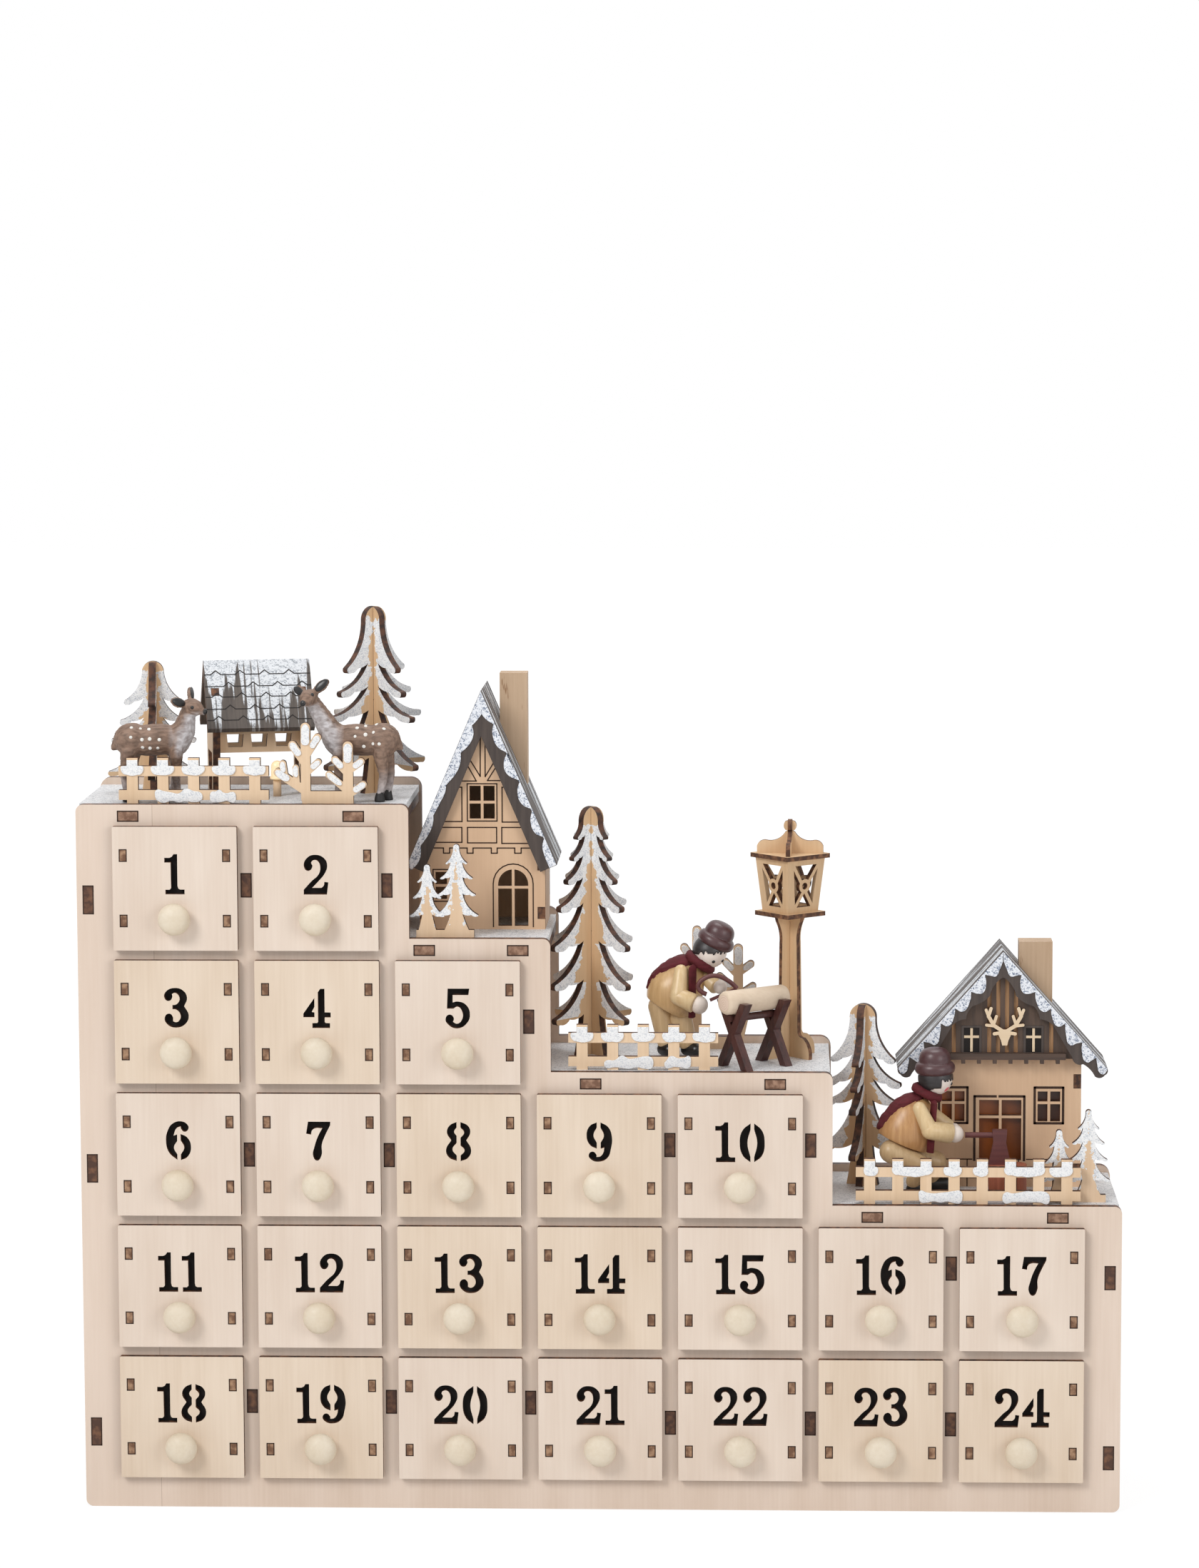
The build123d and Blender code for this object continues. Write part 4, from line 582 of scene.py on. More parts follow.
shrub_x, shrub_foot, stem, longer = 47.0, 179.5, 5.5, 18.5
shrubs = copy_of("shrubs")
second = {vert for vert in shrubs.verts if vert.co.x > 0}
for vert in second:
    vert.co.x = 2 * shrub_x * mm - vert.co.x
    if vert.co.z > (shrub_foot + stem) * mm:
        vert.co.z += longer * mm
bmesh.ops.reverse_faces(shrubs, faces=[face for face in shrubs.faces if face.verts[0] in second])
shrubs.normal_update()
scorch_edges(shrubs)
set_piece("shrubs_plates", shrubs, [cutout_birch, scorched], stands_for=["shrubs"])


# The shifts of noise vectors come from the clock unless a seed is set.
noise.seed_set(24)


def shaky(points, seed, size=0.35):
    """Smooth points of a hand-made line, each a little off."""
    shift = [noise.noise_vector(Vector((x * 0.7, z * 0.7, seed * 3.7))) * size for x, z in points]
    return [(x + d.x, z + d.y, s) for (x, z), d in zip(points, shift)]


def picket_caps(middles, seed, left=4.7, right=4.7):
    """Snow over pickets' tops, run together on the upper rail, by its reach past the outer two."""
    first, last = middles[0] - left, middles[-1] + right
    rail, top, half = 15.2, 17.5, 2.2
    tops = []
    for x in middles:
        tops += [(x - half, rail), (x - half, top), (x + half, top), (x + half, rail)]
    count = 5 + 3 * (len(middles) - 1)
    shares = [(k + 0.5) / count for k in range(count)]
    skirt = [(last + (first - last) * t, 12.8 - 1.5 * sin(pi * t) ** 0.6) for t in shares]
    under = shaky([(last, 14.3), *skirt, (first, 14.3)], seed)
    return [(first + 0.4, 15.1), *tops, (last - 0.4, 15.1), *under]


def rail_drift(left, right, seed):
    """Snow along the lower rail."""

    def waver(k, rate, layer):
        return noise.noise(Vector((k * 0.9, seed * rate, layer)))

    step = (right - left) / 6
    low = [(left + step * k, 0.7 + 0.9 * waver(k, 1.7, 0.3)) for k in range(7)]
    high = [(right - step * k, 5.0 + 1.9 * waver(k, 2.3, 5.3)) for k in range(7)]
    return shaky(low + [(right + 0.9, 2.8)] + high + [(left - 0.9, 2.8)], seed, 0.4)


single = [((k,), 4.7, 4.7) for k in range(5)]
run_together = [((0,), 2.4, 3.4), ((1, 2), 2.4, 3.0), ((3,), 4.4, 3.2), ((4,), 3.6, 2.5),
                ((5, 6), 2.5, 2.6), ((7,), 7.2, 2.3)]
first_picket = 3.3 + 2.25
for number, (left, y, foot, pitch, caps, drifts) in enumerate((
    (-192.5, -32.0, 287.5, 12.3, single, ((15.5, 33.0), (37.5, 46.5))),
    (-12.7, -30.0, 179.5, 12.3, single, ((15.5, 33.5), (39.5, 48.5))),
    (102.9, -32.0, 125.5, 11.3, run_together, ((26.0, 42.0), (60.0, 77.0))),
)):
    dabs = []
    for k, (pickets, *reach) in enumerate(caps):
        middles = [first_picket + pitch * picket for picket in pickets]
        dabs.append(picket_caps(middles, 10 * number + k, *reach))
    dabs += [rail_drift(*ends, 70 + 5 * number + k) for k, ends in enumerate(drifts)]
    drift = cut_sheet(dabs, -1.5, 0.7, 0.25)
    set_piece(f"fence_snow_{number + 1}", put(drift, left, y, foot), [snow])

TWIG_ENDS = (
    ((-8.8, 24.0), (-8.8, 30.6), 3.8), ((8.2, 17.0), (8.2, 23.0), 4.0),
    ((-11.4, 19.8), (-14.0, 23.5), 3.4), ((-6.2, 22.9), (-4.0, 26.5), 3.2),
    ((-6.0, 14.6), (-3.8, 16.6), 2.8), ((-16.0, 9.8), (-20.0, 12.5), 3.4),
    ((-17.6, 13.2), (-18.0, 16.0), 2.8), ((-12.6, 11.2), (-12.8, 14.4), 2.6),
    ((5.6, 14.8), (3.0, 17.6), 3.0), ((10.8, 14.9), (13.4, 16.8), 3.0), ((5.0, 8.0), (0.6, 11.6), 3.0),
    ((11.0, 5.4), (14.2, 7.6), 3.0),
)


def twig_snow(start, end, width, seed):
    """A crust of snow along a twig's end, pinched at both ends."""
    a, b = Vector(start), Vector(end)
    along, half = (b - a).normalized(), width * 0.4
    across = Vector((-along.y, along.x)) * half
    middle = (a + b) / 2
    line = (a + across * 0.8, middle + across, b + across * 0.9, b + along * half * 0.8, b - across * 0.9,
            middle - across, a - across * 0.8, a - along * 0.6)
    return shaky([tuple(point) for point in line], seed, 0.3)


for number, (x, y, foot) in enumerate(((-108.5, -32.0, 287.5), (shrub_x, 20.5, shrub_foot + longer))):
    crusts = bmesh.new()
    for k, twig in enumerate(TWIG_ENDS):
        crust = cut_sheet([twig_snow(*twig, 100 + 20 * number + k)], -1.5, 0.6, 0.2)
        spare = bpy.data.meshes.new("spare")
        crust.to_mesh(spare)
        crust.free()
        crusts.from_mesh(spare)
        bpy.data.meshes.remove(spare)
    set_piece(f"shrub_snow_{number + 1}", put(crusts, x, y, foot), [snow])


def snowy_cutout(name, trees):
    """Veneer under brushed snow, with the trunks and feet left bare. trees: middle, foot, height."""
    finish, node, place = new_finish(name, 0.55)
    face, relief = veneer(node, place, (232, 203, 172), (214, 182, 146), "z")
    x, y, z = xyz(node, place)
    wander = ragged(node, place, 420.0, 7)
    bare = 0.0
    for middle, foot, height in trees:
        off = calc(node, "ABSOLUTE", calc(node, "SUBTRACT", x, middle * mm))
        strip = spread(node, z, foot * mm, (foot + height * 0.8) * mm, 4.2 * mm, -0.4 * mm)
        trunk = calc(node, "LESS_THAN", calc(node, "ADD", off, wander), strip)
        low = calc(node, "LESS_THAN", calc(node, "ADD", z, wander), (foot + 4.6) * mm)
        base = calc(node, "MULTIPLY", low, calc(node, "LESS_THAN", off, 14 * mm))
        bare = calc(node, "MAXIMUM", base, calc(node, "MAXIMUM", bare, trunk))
    white = calc(node, "SUBTRACT", 1.0, bare)
    paint, lump = snow_coat(node, place)
    lay(node, blend(node, white, face, paint), calc(node, "MULTIPLY", white, lump), 0.4, 0.4)
    return finish


twin_trunks = ((-57.2, 233.5, 37.6), (-69.0, 233.5, 29.4), (196.5, 125.5, 37.6), (184.7, 125.5, 29.4))
twin_veneer = snowy_cutout("twin_spruce_veneer", twin_trunks)
stand_plates("twin_spruces", "twin_spruces_plates", [twin_veneer, spruce_edge])

# Hay feeder: two splayed end frames with a rack between them, and two roof boards stained grey brown,
# scored with shingles and dry-brushed with snow from the ridge down. The frames' tabs show in the roof.
feeder_x, feeder_y, feeder_foot, feeder_turn = -141.5, 10.5, 287.5, radians(12.0)
stand_plates("feeder_frame", "feeder_frame_plates", [cutout_birch, scorched])


def brushed_roof(name, turn, ridge, eave, tones, cover, reach=(0.34, 0.66)):
    """Stained board with snow dragged down the slope; turn is the way of its ridge.

    cover is the share left white at the ridge and at the eave, and reach how far the streaks spread."""
    finish, node, place = new_finish(name, 0.6)
    own = own_place(node, place, turn)
    streak = mottle(node, own, (520.0, 26.0, 26.0), 4.0)
    sweep = mottle(node, own, (110.0, 12.0, 12.0), 2.0)
    z = xyz(node, place)[2]
    level = spread(node, z, eave * mm, ridge * mm, cover[1], cover[0])
    drag = calc(node, "ADD", calc(node, "MULTIPLY", streak, 0.45), calc(node, "MULTIPLY", sweep, 0.55))
    white = spread(node, calc(node, "SUBTRACT", level, spread(node, drag, *reach)), -0.07, 0.07)
    # The first tone is the painted shade of the glitter flakes.
    paint, lump = snow_coat(node, place, (158, 163, 170), (226, 229, 233), 1900.0)
    grain = spread(node, mottle(node, own, (900.0, 60.0, 60.0), 4.0), 0.35, 0.65)
    stain = blend(node, grain, *tones)
    lay(node, blend(node, white, stain, paint), calc(node, "MULTIPLY", white, lump), 0.35, 0.4)
    return finish


slate = brushed_roof("feeder_shingle_stain", feeder_turn, 341.5, 315.3, ((70, 62, 57), (90, 81, 74)),
                     (0.92, -0.02), (0.42, 0.58))
stand_plates("feeder_roof", "feeder_roof_boards", [slate, scorched])

soot = speckled("scored_stain", 0.85, 1400.0, (22, 19, 18), (42, 37, 34))
roof_half, ridge_height, slope = 21.6, 54.0, radians(54.0)
point_half, point_rise, point_pitch = 2.1, 1.9, 10.0
shingles = []
for row, level in enumerate((-6.9, -12.5, -17.5, -23.2, -28.4)):
    path, peak = [(-roof_half, level)], -17.0 + row % 2 * point_pitch / 2
    while peak < roof_half - point_half:
        path += [(peak - point_half, level), (peak, level + point_rise), (peak + point_half, level)]
        peak += point_pitch
    shingles.append(path + [(roof_half, level)])
up = Matrix(((1, 0, 0), (0, sin(slope), cos(slope)), (0, -cos(slope), sin(slope)))).to_4x4()
for side, turn in (("front", 0.0), ("back", pi)):
    rows = scored(shingles, 0.45)
    place = Matrix.Rotation(turn, 4, "Z") @ Matrix.Translation((0, 0, ridge_height)) @ up
    bmesh.ops.transform(rows, matrix=place, verts=rows.verts)
    rows = put(rows, feeder_x, feeder_y, feeder_foot, feeder_turn)
    set_piece(f"feeder_shingles_{side}", rows, [soot])

# Half-timbered house: four birch walls joined by finger tabs, its framing scored by laser, two roof boards
# and a fascia stained dark brown, with a scalloped edge of snow.
house = (-48.2, -10.5, 233.5)
wall_birch = plain_birch("wall_birch", "z", (220, 186, 153), (207, 171, 138))
stand_plates("house_walls", "house_wall_plates", [wall_birch, scorched])

door, door_half, spring = 12.5, 8.1, 18.6
turns = [a * pi / 12 for a in range(1, 12)]
arch = [(door + door_half * cos(a), spring + door_half * sin(a)) for a in turns]
framing = [
    ring((-10.5, 58), (-8.1, 58), (-8.1, 44), (-17.4, 44)),
    ring((8.2, 58), (11, 58), (17.2, 43.8), (8.2, 43.8)),
    ring((-18.5, 41.6), (-8.2, 41.6), (-8.2, 35.5), (-21.4, 35.5)),
    ring((-5.9, 41.6), (5.9, 41.6), (5.9, 35.3), (-5.9, 35.3)),
    ring((8, 41.6), (18.5, 41.6), (21.3, 35.1), (8, 35.1)),
    ring((-0.5, 78.8), (-5.1, 69.8), (-0.6, 62.4)), ring((1.4, 78.9), (5.9, 69.7), (1.4, 62.3)),
    ring((-6.1, 67.5), (-9.5, 60.5), (-2.2, 60.5)), ring((6.6, 67.5), (9.8, 60.7), (2.3, 60.7)),
    ring((-5.9, 44.2), (6.1, 44.2), (6.1, 59.4), (-5.9, 59.4)),
    [(-25.2, 31.1), (-22.9, 31.1), (-22.9, 33.2), (-15.7, 33.2), (-15.7, 31.1), (-13.2, 31.1),
     (-13.2, 33.2), (-6.1, 33.2), (-6.1, 31.1), (-3.7, 31.1), (-3.7, 33.2), (3.7, 33.2), (3.7, 31.1),
     (6.1, 31.1), (6.1, 33.2), (13.2, 33.2), (13.2, 31.1), (15.8, 31.1), (15.8, 33.2), (22.6, 33.2)],
    [(20.6, 1.0), (20.6, spring), *arch, (4.4, spring), (4.4, 1.0)],
    ring((-20.0, 11.4), (-7.6, 11.4), (-7.6, 24.4), (-20.0, 24.4)),
]
set_piece("house_framing", put(scored(framing, 0.5), *house), [burn])

slate_brown = ((58, 48, 44), (78, 67, 61))
dress(brushed_roof("house_roof_stain", pi / 2, 331.0, 260.0, slate_brown, (0.42, 0.44)), "house_roof")


def stained(name, dark, light, grain="z", roughness=0.6):
    finish, node, place = new_finish(name, roughness)
    fine = mottle(node, place, [45.0 if axis == grain else 700.0 for axis in "xyz"], 4.0)
    lay(node, blend(node, spread(node, fine, 0.3, 0.7), dark, light), fine, 0.15)
    return finish


fascia_brown = stained("fascia_brown", *slate_brown)
dress(fascia_brown, "house_fascia")
HOUSE_SNOW = (
    [(0.3, 88.0), (-2.0, 85.0, s), (-3.6, 83.4), (-3.0, 79.8, s), (-5.0, 75.4, s), (-8.2, 72.4),
     (-8.3, 69.0, s), (-9.8, 64.6, s), (-14.2, 59.2), (-14.6, 56.4, s), (-16.4, 52.6, s), (-19.5, 46.8),
     (-19.5, 44.6, s), (-21.0, 40.0, s), (-24.8, 34.4), (-24.6, 32.8, s), (-25.6, 28.0, s), (-28.6, 24.6),
     (-30.2, 26.8)],
    [(0.3, 88.0), (2.2, 85.8, s), (5.1, 84.0), (4.6, 80.4, s), (6.8, 74.6, s), (10.6, 72.4), (9.2, 68.8, s),
     (10.2, 64.0, s), (15.6, 61.0), (14.6, 56.9, s), (16.2, 51.7, s), (20.6, 49.3), (19.8, 44.9, s),
     (21.6, 39.8, s), (25.4, 38.0), (24.6, 34.3, s), (25.6, 30.0, s), (27.4, 25.6), (30.2, 26.8)],
)
# The blue grey tone is the painted shade of the glitter flakes.
glitter = snow_finish("fascia_glitter", (118, 130, 152), (238, 241, 247), 2000.0)
for side, inner in zip(("left", "right"), HOUSE_SNOW):
    edge = cut_sheet([inner + [(0, 97.3)]], -3.0, 0.5, 0.12)
    set_piece(f"house_fascia_snow_{side}", put(edge, *house), [glitter])

# Chalet: walls like the house's with a scored door, windows and stone footing, and above them a battened
# gable board stained brown, a carved fascia, a beam with joist ends and a stag's head in bare birch.
chalet = (163.0, 2.5, 125.5)
dress(brushed_roof("chalet_roof_stain", pi / 2, 223.9, 175.3, slate_brown, (0.50, 0.46)), "chalet_roof")
stand_plates("chalet_walls", "chalet_wall_plates", [wall_birch, scorched])

thick = [
    [(-11.1, 11.0), (-11.1, 37.5), (-2.4, 37.5)], [(-1.0, 37.5), (9.2, 37.5), (9.2, 11.0)],
    ring((13.4, 26.4), (25.0, 26.4), (25.0, 41.2), (13.4, 41.2)),
    ring((-25.6, 26.4), (-14.0, 26.4), (-14.0, 41.2), (-25.6, 41.2)),
]
course, wall, footing, joint = 3.8, 32.2, 11.4, 7
fine = [[(-wall, footing), (-12.0, footing)], [(10.2, footing), (wall, footing)]]
fine += [[(-wall, course * row), (wall, course * row)] for row in (1, 2)]
for row in range(3):
    low, high, shift = max(course * row, 0.2), course * (row + 1), row % 2 * 3.4
    fine += [[(x + shift, low), (x + shift, high)] for x in range(-4 * joint, 4 * joint + 1, joint)]
for name, lines, width in (("chalet_door_lines", thick, 1.0), ("chalet_stone_lines", fine, 0.45)):
    set_piece(name, put(scored(lines, width), *chalet), [burn])

pale_birch = plain_birch("ornament_birch", "x", (236, 214, 184), (222, 196, 162))
battened, node, place = new_finish("battened_gable", 0.6)
grain = spread(node, mottle(node, place, (700.0, 700.0, 45.0), 4.0), 0.3, 0.7)
raised = calc(node, "LESS_THAN", xyz(node, place)[1], (chalet[1] - 2.5) * mm)
brown = blend(node, grain, (62, 47, 38), (88, 68, 55))
tan_wood = blend(node, grain, (190, 148, 106), (160, 120, 84))
lay(node, blend(node, raised, tan_wood, brown))
beam_brown = stained("beam_brown", (60, 45, 37), (84, 64, 52), "x")
gable = copy_of("chalet_gable")
board, fascia, beam, stag, stag_edge = range(5)
stag_width, board_depth, beam_top = 30, 4, 60
for solid in solids_in(gable):
    left, right = extent(solid, 0)
    if right - left < stag_width * mm:
        kind = stag
    elif extent(solid, 1)[0] > (chalet[1] - board_depth) * mm:
        kind = board
    else:
        kind = beam if extent(solid, 2)[1] < (chalet[2] + beam_top) * mm else fascia
    for face in solid:
        face.material_index = stag_edge if kind == stag and abs(face.normal.y) < 0.8 else kind
gable_finishes = [battened, fascia_brown, beam_brown, pale_birch, scorched]
set_piece("chalet_gable_boards", gable, gable_finishes, stands_for=["chalet_gable"])

CHALET_SNOW = [
    (0.2, 94.1), (1.5, 90.7, s), (3.1, 88.0, s), (5.1, 88.3, s), (7.4, 88.7), (6.9, 85.2, s),
    (8.2, 81.25, s), (10.2, 80.9, s), (13.0, 81.7), (13.3, 78.2, s), (16.4, 73.5, s), (19.4, 74.8),
    (19.8, 71.6, s), (22.2, 67.5, s), (25.2, 68.6), (25.5, 64.5, s), (27.3, 59.8, s), (30.0, 60.6, s),
    (32.2, 61.0), (32.0, 57.5, s), (34.1, 52.7, s), (36.1, 53.6, s), (37.9, 54.8), (38.3, 52.0, s),
    (39.4, 48.4, s), (41.0, 47.9, s), (42.3, 49.4), (42.4, 50.2),
]
for side, hand in (("left", -1), ("right", 1)):
    edge = cut_sheet([[(hand * p[0], *p[1:]) for p in CHALET_SNOW] + [(0, 98.1)]], -6.0, 0.5, 0.12)
    set_piece(f"chalet_fascia_snow_{side}", put(edge, *chalet), [glitter])

# The window lights are black card: painted shade for the dark behind the gable's windows.
frames, lights, crosses = [], [], []
bar, arm, sill, low, high, head = 0.5, 3.0, 56.6, 62.2, 63.2, 66.2
right_half = [(bar, sill), (bar, low), (arm, low), (arm, high), (bar, high), (bar, head)]
for middle in (-12.6, 12.6):
    frames.append(square(middle - 4.1, 56.2, middle + 4.1, 67.3))
    frames.append(square(middle - 3.15, 56.3, middle + 3.15, 66.4))
    lights.append(square(middle - 3.2, 56.3, middle + 3.2, 66.45))
    left_half = [(middle - x, z) for x, z in reversed(right_half)]
    crosses.append([(middle + x, z) for x, z in right_half] + left_half)
for name, outlines, back, thickness, finish in (
    ("gable_window_frames", frames, -3.0, 0.3, fascia_brown),
    ("gable_window_shade_panes", lights, -3.0, 0.1, shade_card),
    ("gable_window_bars", crosses, -3.1, 0.3, pale_birch),
):
    set_piece(name, put(cut_sheet(outlines, back, thickness), *chalet), [finish])

# Film: an amber sheet glued behind the chalet's lights, with the lamp's light painted on it: bright
# behind the left window, fading to painted shade behind the right. A dark sheet behind the gable is
# painted shade.
amber, node, place = new_finish("amber_film_painted_glow", 0.35)
x = xyz(node, place)[0]
wavy = calc(node, "ADD", x, calc(node, "MULTIPLY", mottle(node, place, 90.0), 10 * mm))
# Painted lamp light: bright amber on the left, fading to dark amber on the right.
painted_glow = spread(node, wavy, 138 * mm, 182 * mm, 1.0, 0.0)
lay(node, blend(node, painted_glow, (70, 34, 14), (176, 92, 20)))
panes = cut_sheet([square(-27.0, 10.0, 27.0, 42.0)], 3.3, 0.3)
set_piece("chalet_amber_film", put(panes, *chalet), [amber])
# A black sheet behind the gable's windows: painted shade.
shade_film = cut_sheet([square(-16.5, 55.0, 16.5, 65.0)], 0.0, 0.2)
set_piece("gable_shade_film", put(shade_film, *chalet), [shade_card])

# Chimneys: sawn blocks of birch with a coarse upright grain, cut to the slopes of the roofs that they are
# glued to.
block, node, place = new_finish("chimney_block", 0.6)
face, relief = veneer(node, place, (202, 174, 145), (178, 148, 118), "z")
fleck = mottle(node, place, (800.0, 800.0, 90.0), 3.0)
lay(node, blend(node, spread(node, fleck, 0.66, 0.72), face, (146, 110, 78)), relief, 0.2, 0.3)
dress(block, "chimneys")

# Lamps: clear warm light-emitting diodes, one on a small birch post by the feeder and one in each
# building, behind its windows.
lens, node, place = new_finish("lamp_lens", 0.15)
shine = node("LayerWeight", {"Blend": 0.4}).outputs["Facing"]
lay(node, blend(node, shine, (255, 236, 196), (238, 206, 158)))
node("coat", {"Emission Color": colour(255, 226, 176), "Emission Strength": 0.3})
lamps, post_width = copy_of("lamps"), 4.5
for solid in solids_in(lamps):
    left, right = extent(solid, 0)
    for face in solid:
        face.material_index = 1 if right - left < post_width * mm else 0
set_piece("lamp_bodies", lamps, [lens, cutout_birch], stands_for=["lamps"], smooth=True)

# Street lamp: crossed post plates, two trays, four lantern panels with crossed bars, and a crossed cap. It
# is cut from thinner sheet than the cabinet, and the laser leaves its edges and the lantern's windows dark.
lamp_birch = plain_birch("street_lamp_birch", "z", (222, 190, 152), (203, 168, 128))
lamp_edge = burnt_edge("street_lamp_edge", (72, 43, 27), (134, 92, 62))
post = copy_of("street_lamp")
scorch_edges(post)
sheet, sheet_share, near = 0.003, 0.6, 0.0002
plates = []
for plate in solids_in(post):
    across = max(plate, key=lambda face: face.calc_area()).normal.copy()
    corners = list({corner for face in plate for corner in face.verts})
    depths = [across.dot(corner.co) for corner in corners]
    if max(depths) - min(depths) < sheet + near:
        foot = min(corner.co.z for corner in corners)
        plates.append((across, (min(depths) + max(depths)) / 2, foot, corners))
    else:
        lantern = plate
low, high = extent(lantern, 2)
for across, middle, foot, corners in plates:
    for corner in corners:
        if abs(across.z) > 0.9:
            seat = low if corner.co.z < (low + high) / 2 else high
            corner.co.z = seat + (corner.co.z - seat) * sheet_share
            continue
        corner.co += across * (middle - across.dot(corner.co)) * (1 - sheet_share)
        for end, thinner in ((low - sheet, 1), (high + sheet, -1)):
            if abs(corner.co.z - end) < near:
                corner.co.z += thinner * sheet * (1 - sheet_share)
for across, middle, foot, corners in plates:
    for other, other_middle, other_foot, _ in plates:
        if abs(foot - other_foot) < near and abs(across.dot(other)) < 0.1 and abs(across.z) < 0.9:
            for corner in corners:
                off = other.dot(corner.co) - other_middle
                if abs(off) < 0.6 * sheet:
                    corner.co -= other * off * (1 - sheet_share)
axis = Vector((sum(extent(lantern, 0)) / 2, sum(extent(lantern, 1)) / 2, 0))
ways = [across for across, middle, foot, corners in plates if foot < low - 10 * sheet]
halves = []
for level in (low, high):
    rim = {corner for face in lantern for corner in face.verts if abs(corner.co.z - level) < near}
    halves.append(max(abs(way.dot(corner.co - axis)) for corner in rim for way in ways))
for face in lantern:
    place = face.calc_center_median()
    half = halves[0] + (halves[1] - halves[0]) * (place.z - low) / (high - low)
    faced = max(ways, key=lambda way: abs(way.dot(face.normal)))
    lies = abs(faced.dot(face.normal)) > 0.9 and abs(faced.dot(place - axis)) > half - 1.25 * sheet
    face.material_index = 0 if lies else 1
set_piece("street_lamp_plates", post, [lamp_birch, lamp_edge], stands_for=["street_lamp"])

# Sawhorse and log, chopping block and tools: turned and sawn wood, stained dark or red brown. The log is
# left bare, its ends rounded over.


def turn_on(form, section, place, steps=28):
    """Turns a section of radius and height about Z on the lathe at a place. Gives its vertices."""
    before = set(form.verts)
    line = [form.verts.new((radius, 0, height)) for radius, height in section]
    edges = [form.edges.new(pair) for pair in zip(line, line[1:])]
    bmesh.ops.spin(form, geom=line + edges, cent=(0, 0, 0), axis=(0, 0, 1), angle=2 * pi, steps=steps,
                   use_merge=True)
    bmesh.ops.remove_doubles(form, verts=[v for v in form.verts if v not in before], dist=0.001)
    made = [v for v in form.verts if v not in before]
    bmesh.ops.recalc_face_normals(form, faces=list({face for v in made for face in v.link_faces}))
    bmesh.ops.transform(form, matrix=place, verts=made)
    return made


def aim(start, way):
    """A place at start whose Z points along a way."""
    return Matrix.Translation(start) @ Vector(way).to_track_quat("Z", "Y").to_matrix().to_4x4()


dark_stain = stained("sawhorse_stain", (54, 28, 25), (84, 46, 40), "z", 0.38)
log_wood = plain_birch("log_wood", "x", (230, 211, 188), (212, 188, 162))
horse_x, horse_y, horse_foot, horse_turn, log_height = 62.0, -20.5, 179.5, radians(38.0), 26.93
horse = copy_of("sawhorse")
plain_log = [face for solid in solids_in(horse) if extent(solid, 2)[0] > 200 * mm for face in solid]
bmesh.ops.delete(horse, geom=plain_log, context="FACES")
set_piece("sawhorse_frame", horse, [dark_stain], stands_for=["sawhorse"])
log = bmesh.new()
log_half = [(4.8, 14.1), (4.3, 15.1), (3.3, 15.5), (0, 15.5)]
log_section = [(radius, -end) for radius, end in reversed(log_half)] + log_half
turn_on(log, log_section, aim((0, 0, log_height), (1, 0, 0)), 40)
for face in log.faces:
    face.material_index = 1 if abs(face.normal.x) > 0.95 else 0
end_grain, node, place = new_finish("log_end_grain", 0.6)
heart = own_place(node, place, horse_turn, (horse_x, horse_y, horse_foot + log_height))
_, across, rise = xyz(node, heart)
squares = calc(node, "ADD", calc(node, "MULTIPLY", across, across), calc(node, "MULTIPLY", rise, rise))
waver = calc(node, "MULTIPLY", mottle(node, place, 300.0), 1.2 * mm)
off = calc(node, "ADD", calc(node, "SQRT", squares), waver)
growth = calc(node, "SINE", calc(node, "MULTIPLY", off, 2 * pi / (0.9 * mm)))
lay(node, blend(node, spread(node, growth, -1.0, 1.0), (233, 210, 192), (219, 192, 170)))
log = put(log, horse_x, horse_y, horse_foot, horse_turn)
set_piece("log", log, [log_wood, end_grain], smooth=True)
dress(stained("stump_stain", (150, 84, 62), (176, 104, 78)), "chopping_block")
dress(stained("tool_stain", (84, 42, 42), (104, 56, 54), "x", 0.45), "hand_tools")

# Figures: a sawyer bent over the log and a crouching woodcutter, of turned and glued wood. Coats, sleeves
# and legs are lacquered bare wood; heads, beanies, scarves, hands and boots are painted by hand.


def egg(half, radius, rows=14):
    turns = [pi * k / rows - pi / 2 for k in range(rows + 1)]
    return [(radius * cos(a), half * sin(a)) for a in turns]


def add_limb(form, start, end, low, high, flat_end=False, squash=1.0):
    """A tapered limb with round ends, or with a flat sawn end."""
    way = Vector(end) - Vector(start)
    quarter = [pi * k / 12 for k in range(7)]
    section = [(low * sin(a), -low * cos(a)) for a in quarter]
    if flat_end:
        section += [(high, way.length), (high - 0.25, way.length + 0.25), (0, way.length + 0.25)]
    else:
        section += [(high * cos(a), way.length + high * sin(a)) for a in quarter]
    return turn_on(form, section, aim(start, way) @ Matrix.Diagonal((1, squash, 1, 1)), 26)


def painted(name, tone, roughness, variation=10, relief=0.08):
    """Brushed enamel: a little thicker and thinner, with faint brush marks."""
    finish, node, place = new_finish(name, roughness)
    brush = mottle(node, place, (240.0, 240.0, 900.0), 3.0)
    darker = tuple(max(part - variation, 0) for part in tone)
    lay(node, blend(node, spread(node, brush, 0.3, 0.7), tone, darker), brush, relief)
    return finish


def face_paint(name, cheeks):
    """Pale skin with soft pink cheeks; places in millimetres."""
    finish, node, place = new_finish(name, 0.42)
    tone = blend(node, mottle(node, place, 300.0), (243, 231, 222), (234, 219, 208))
    for cheek in cheeks:
        fed = {0: place, 1: [c * mm for c in cheek]}
        away = node("VectorMath", fed, operation="DISTANCE").outputs["Value"]
        tone = blend(node, spread(node, away, 1.1 * mm, 1.5 * mm, 1.0, 0.0), tone, (226, 112, 120))
    lay(node, tone)
    return finish


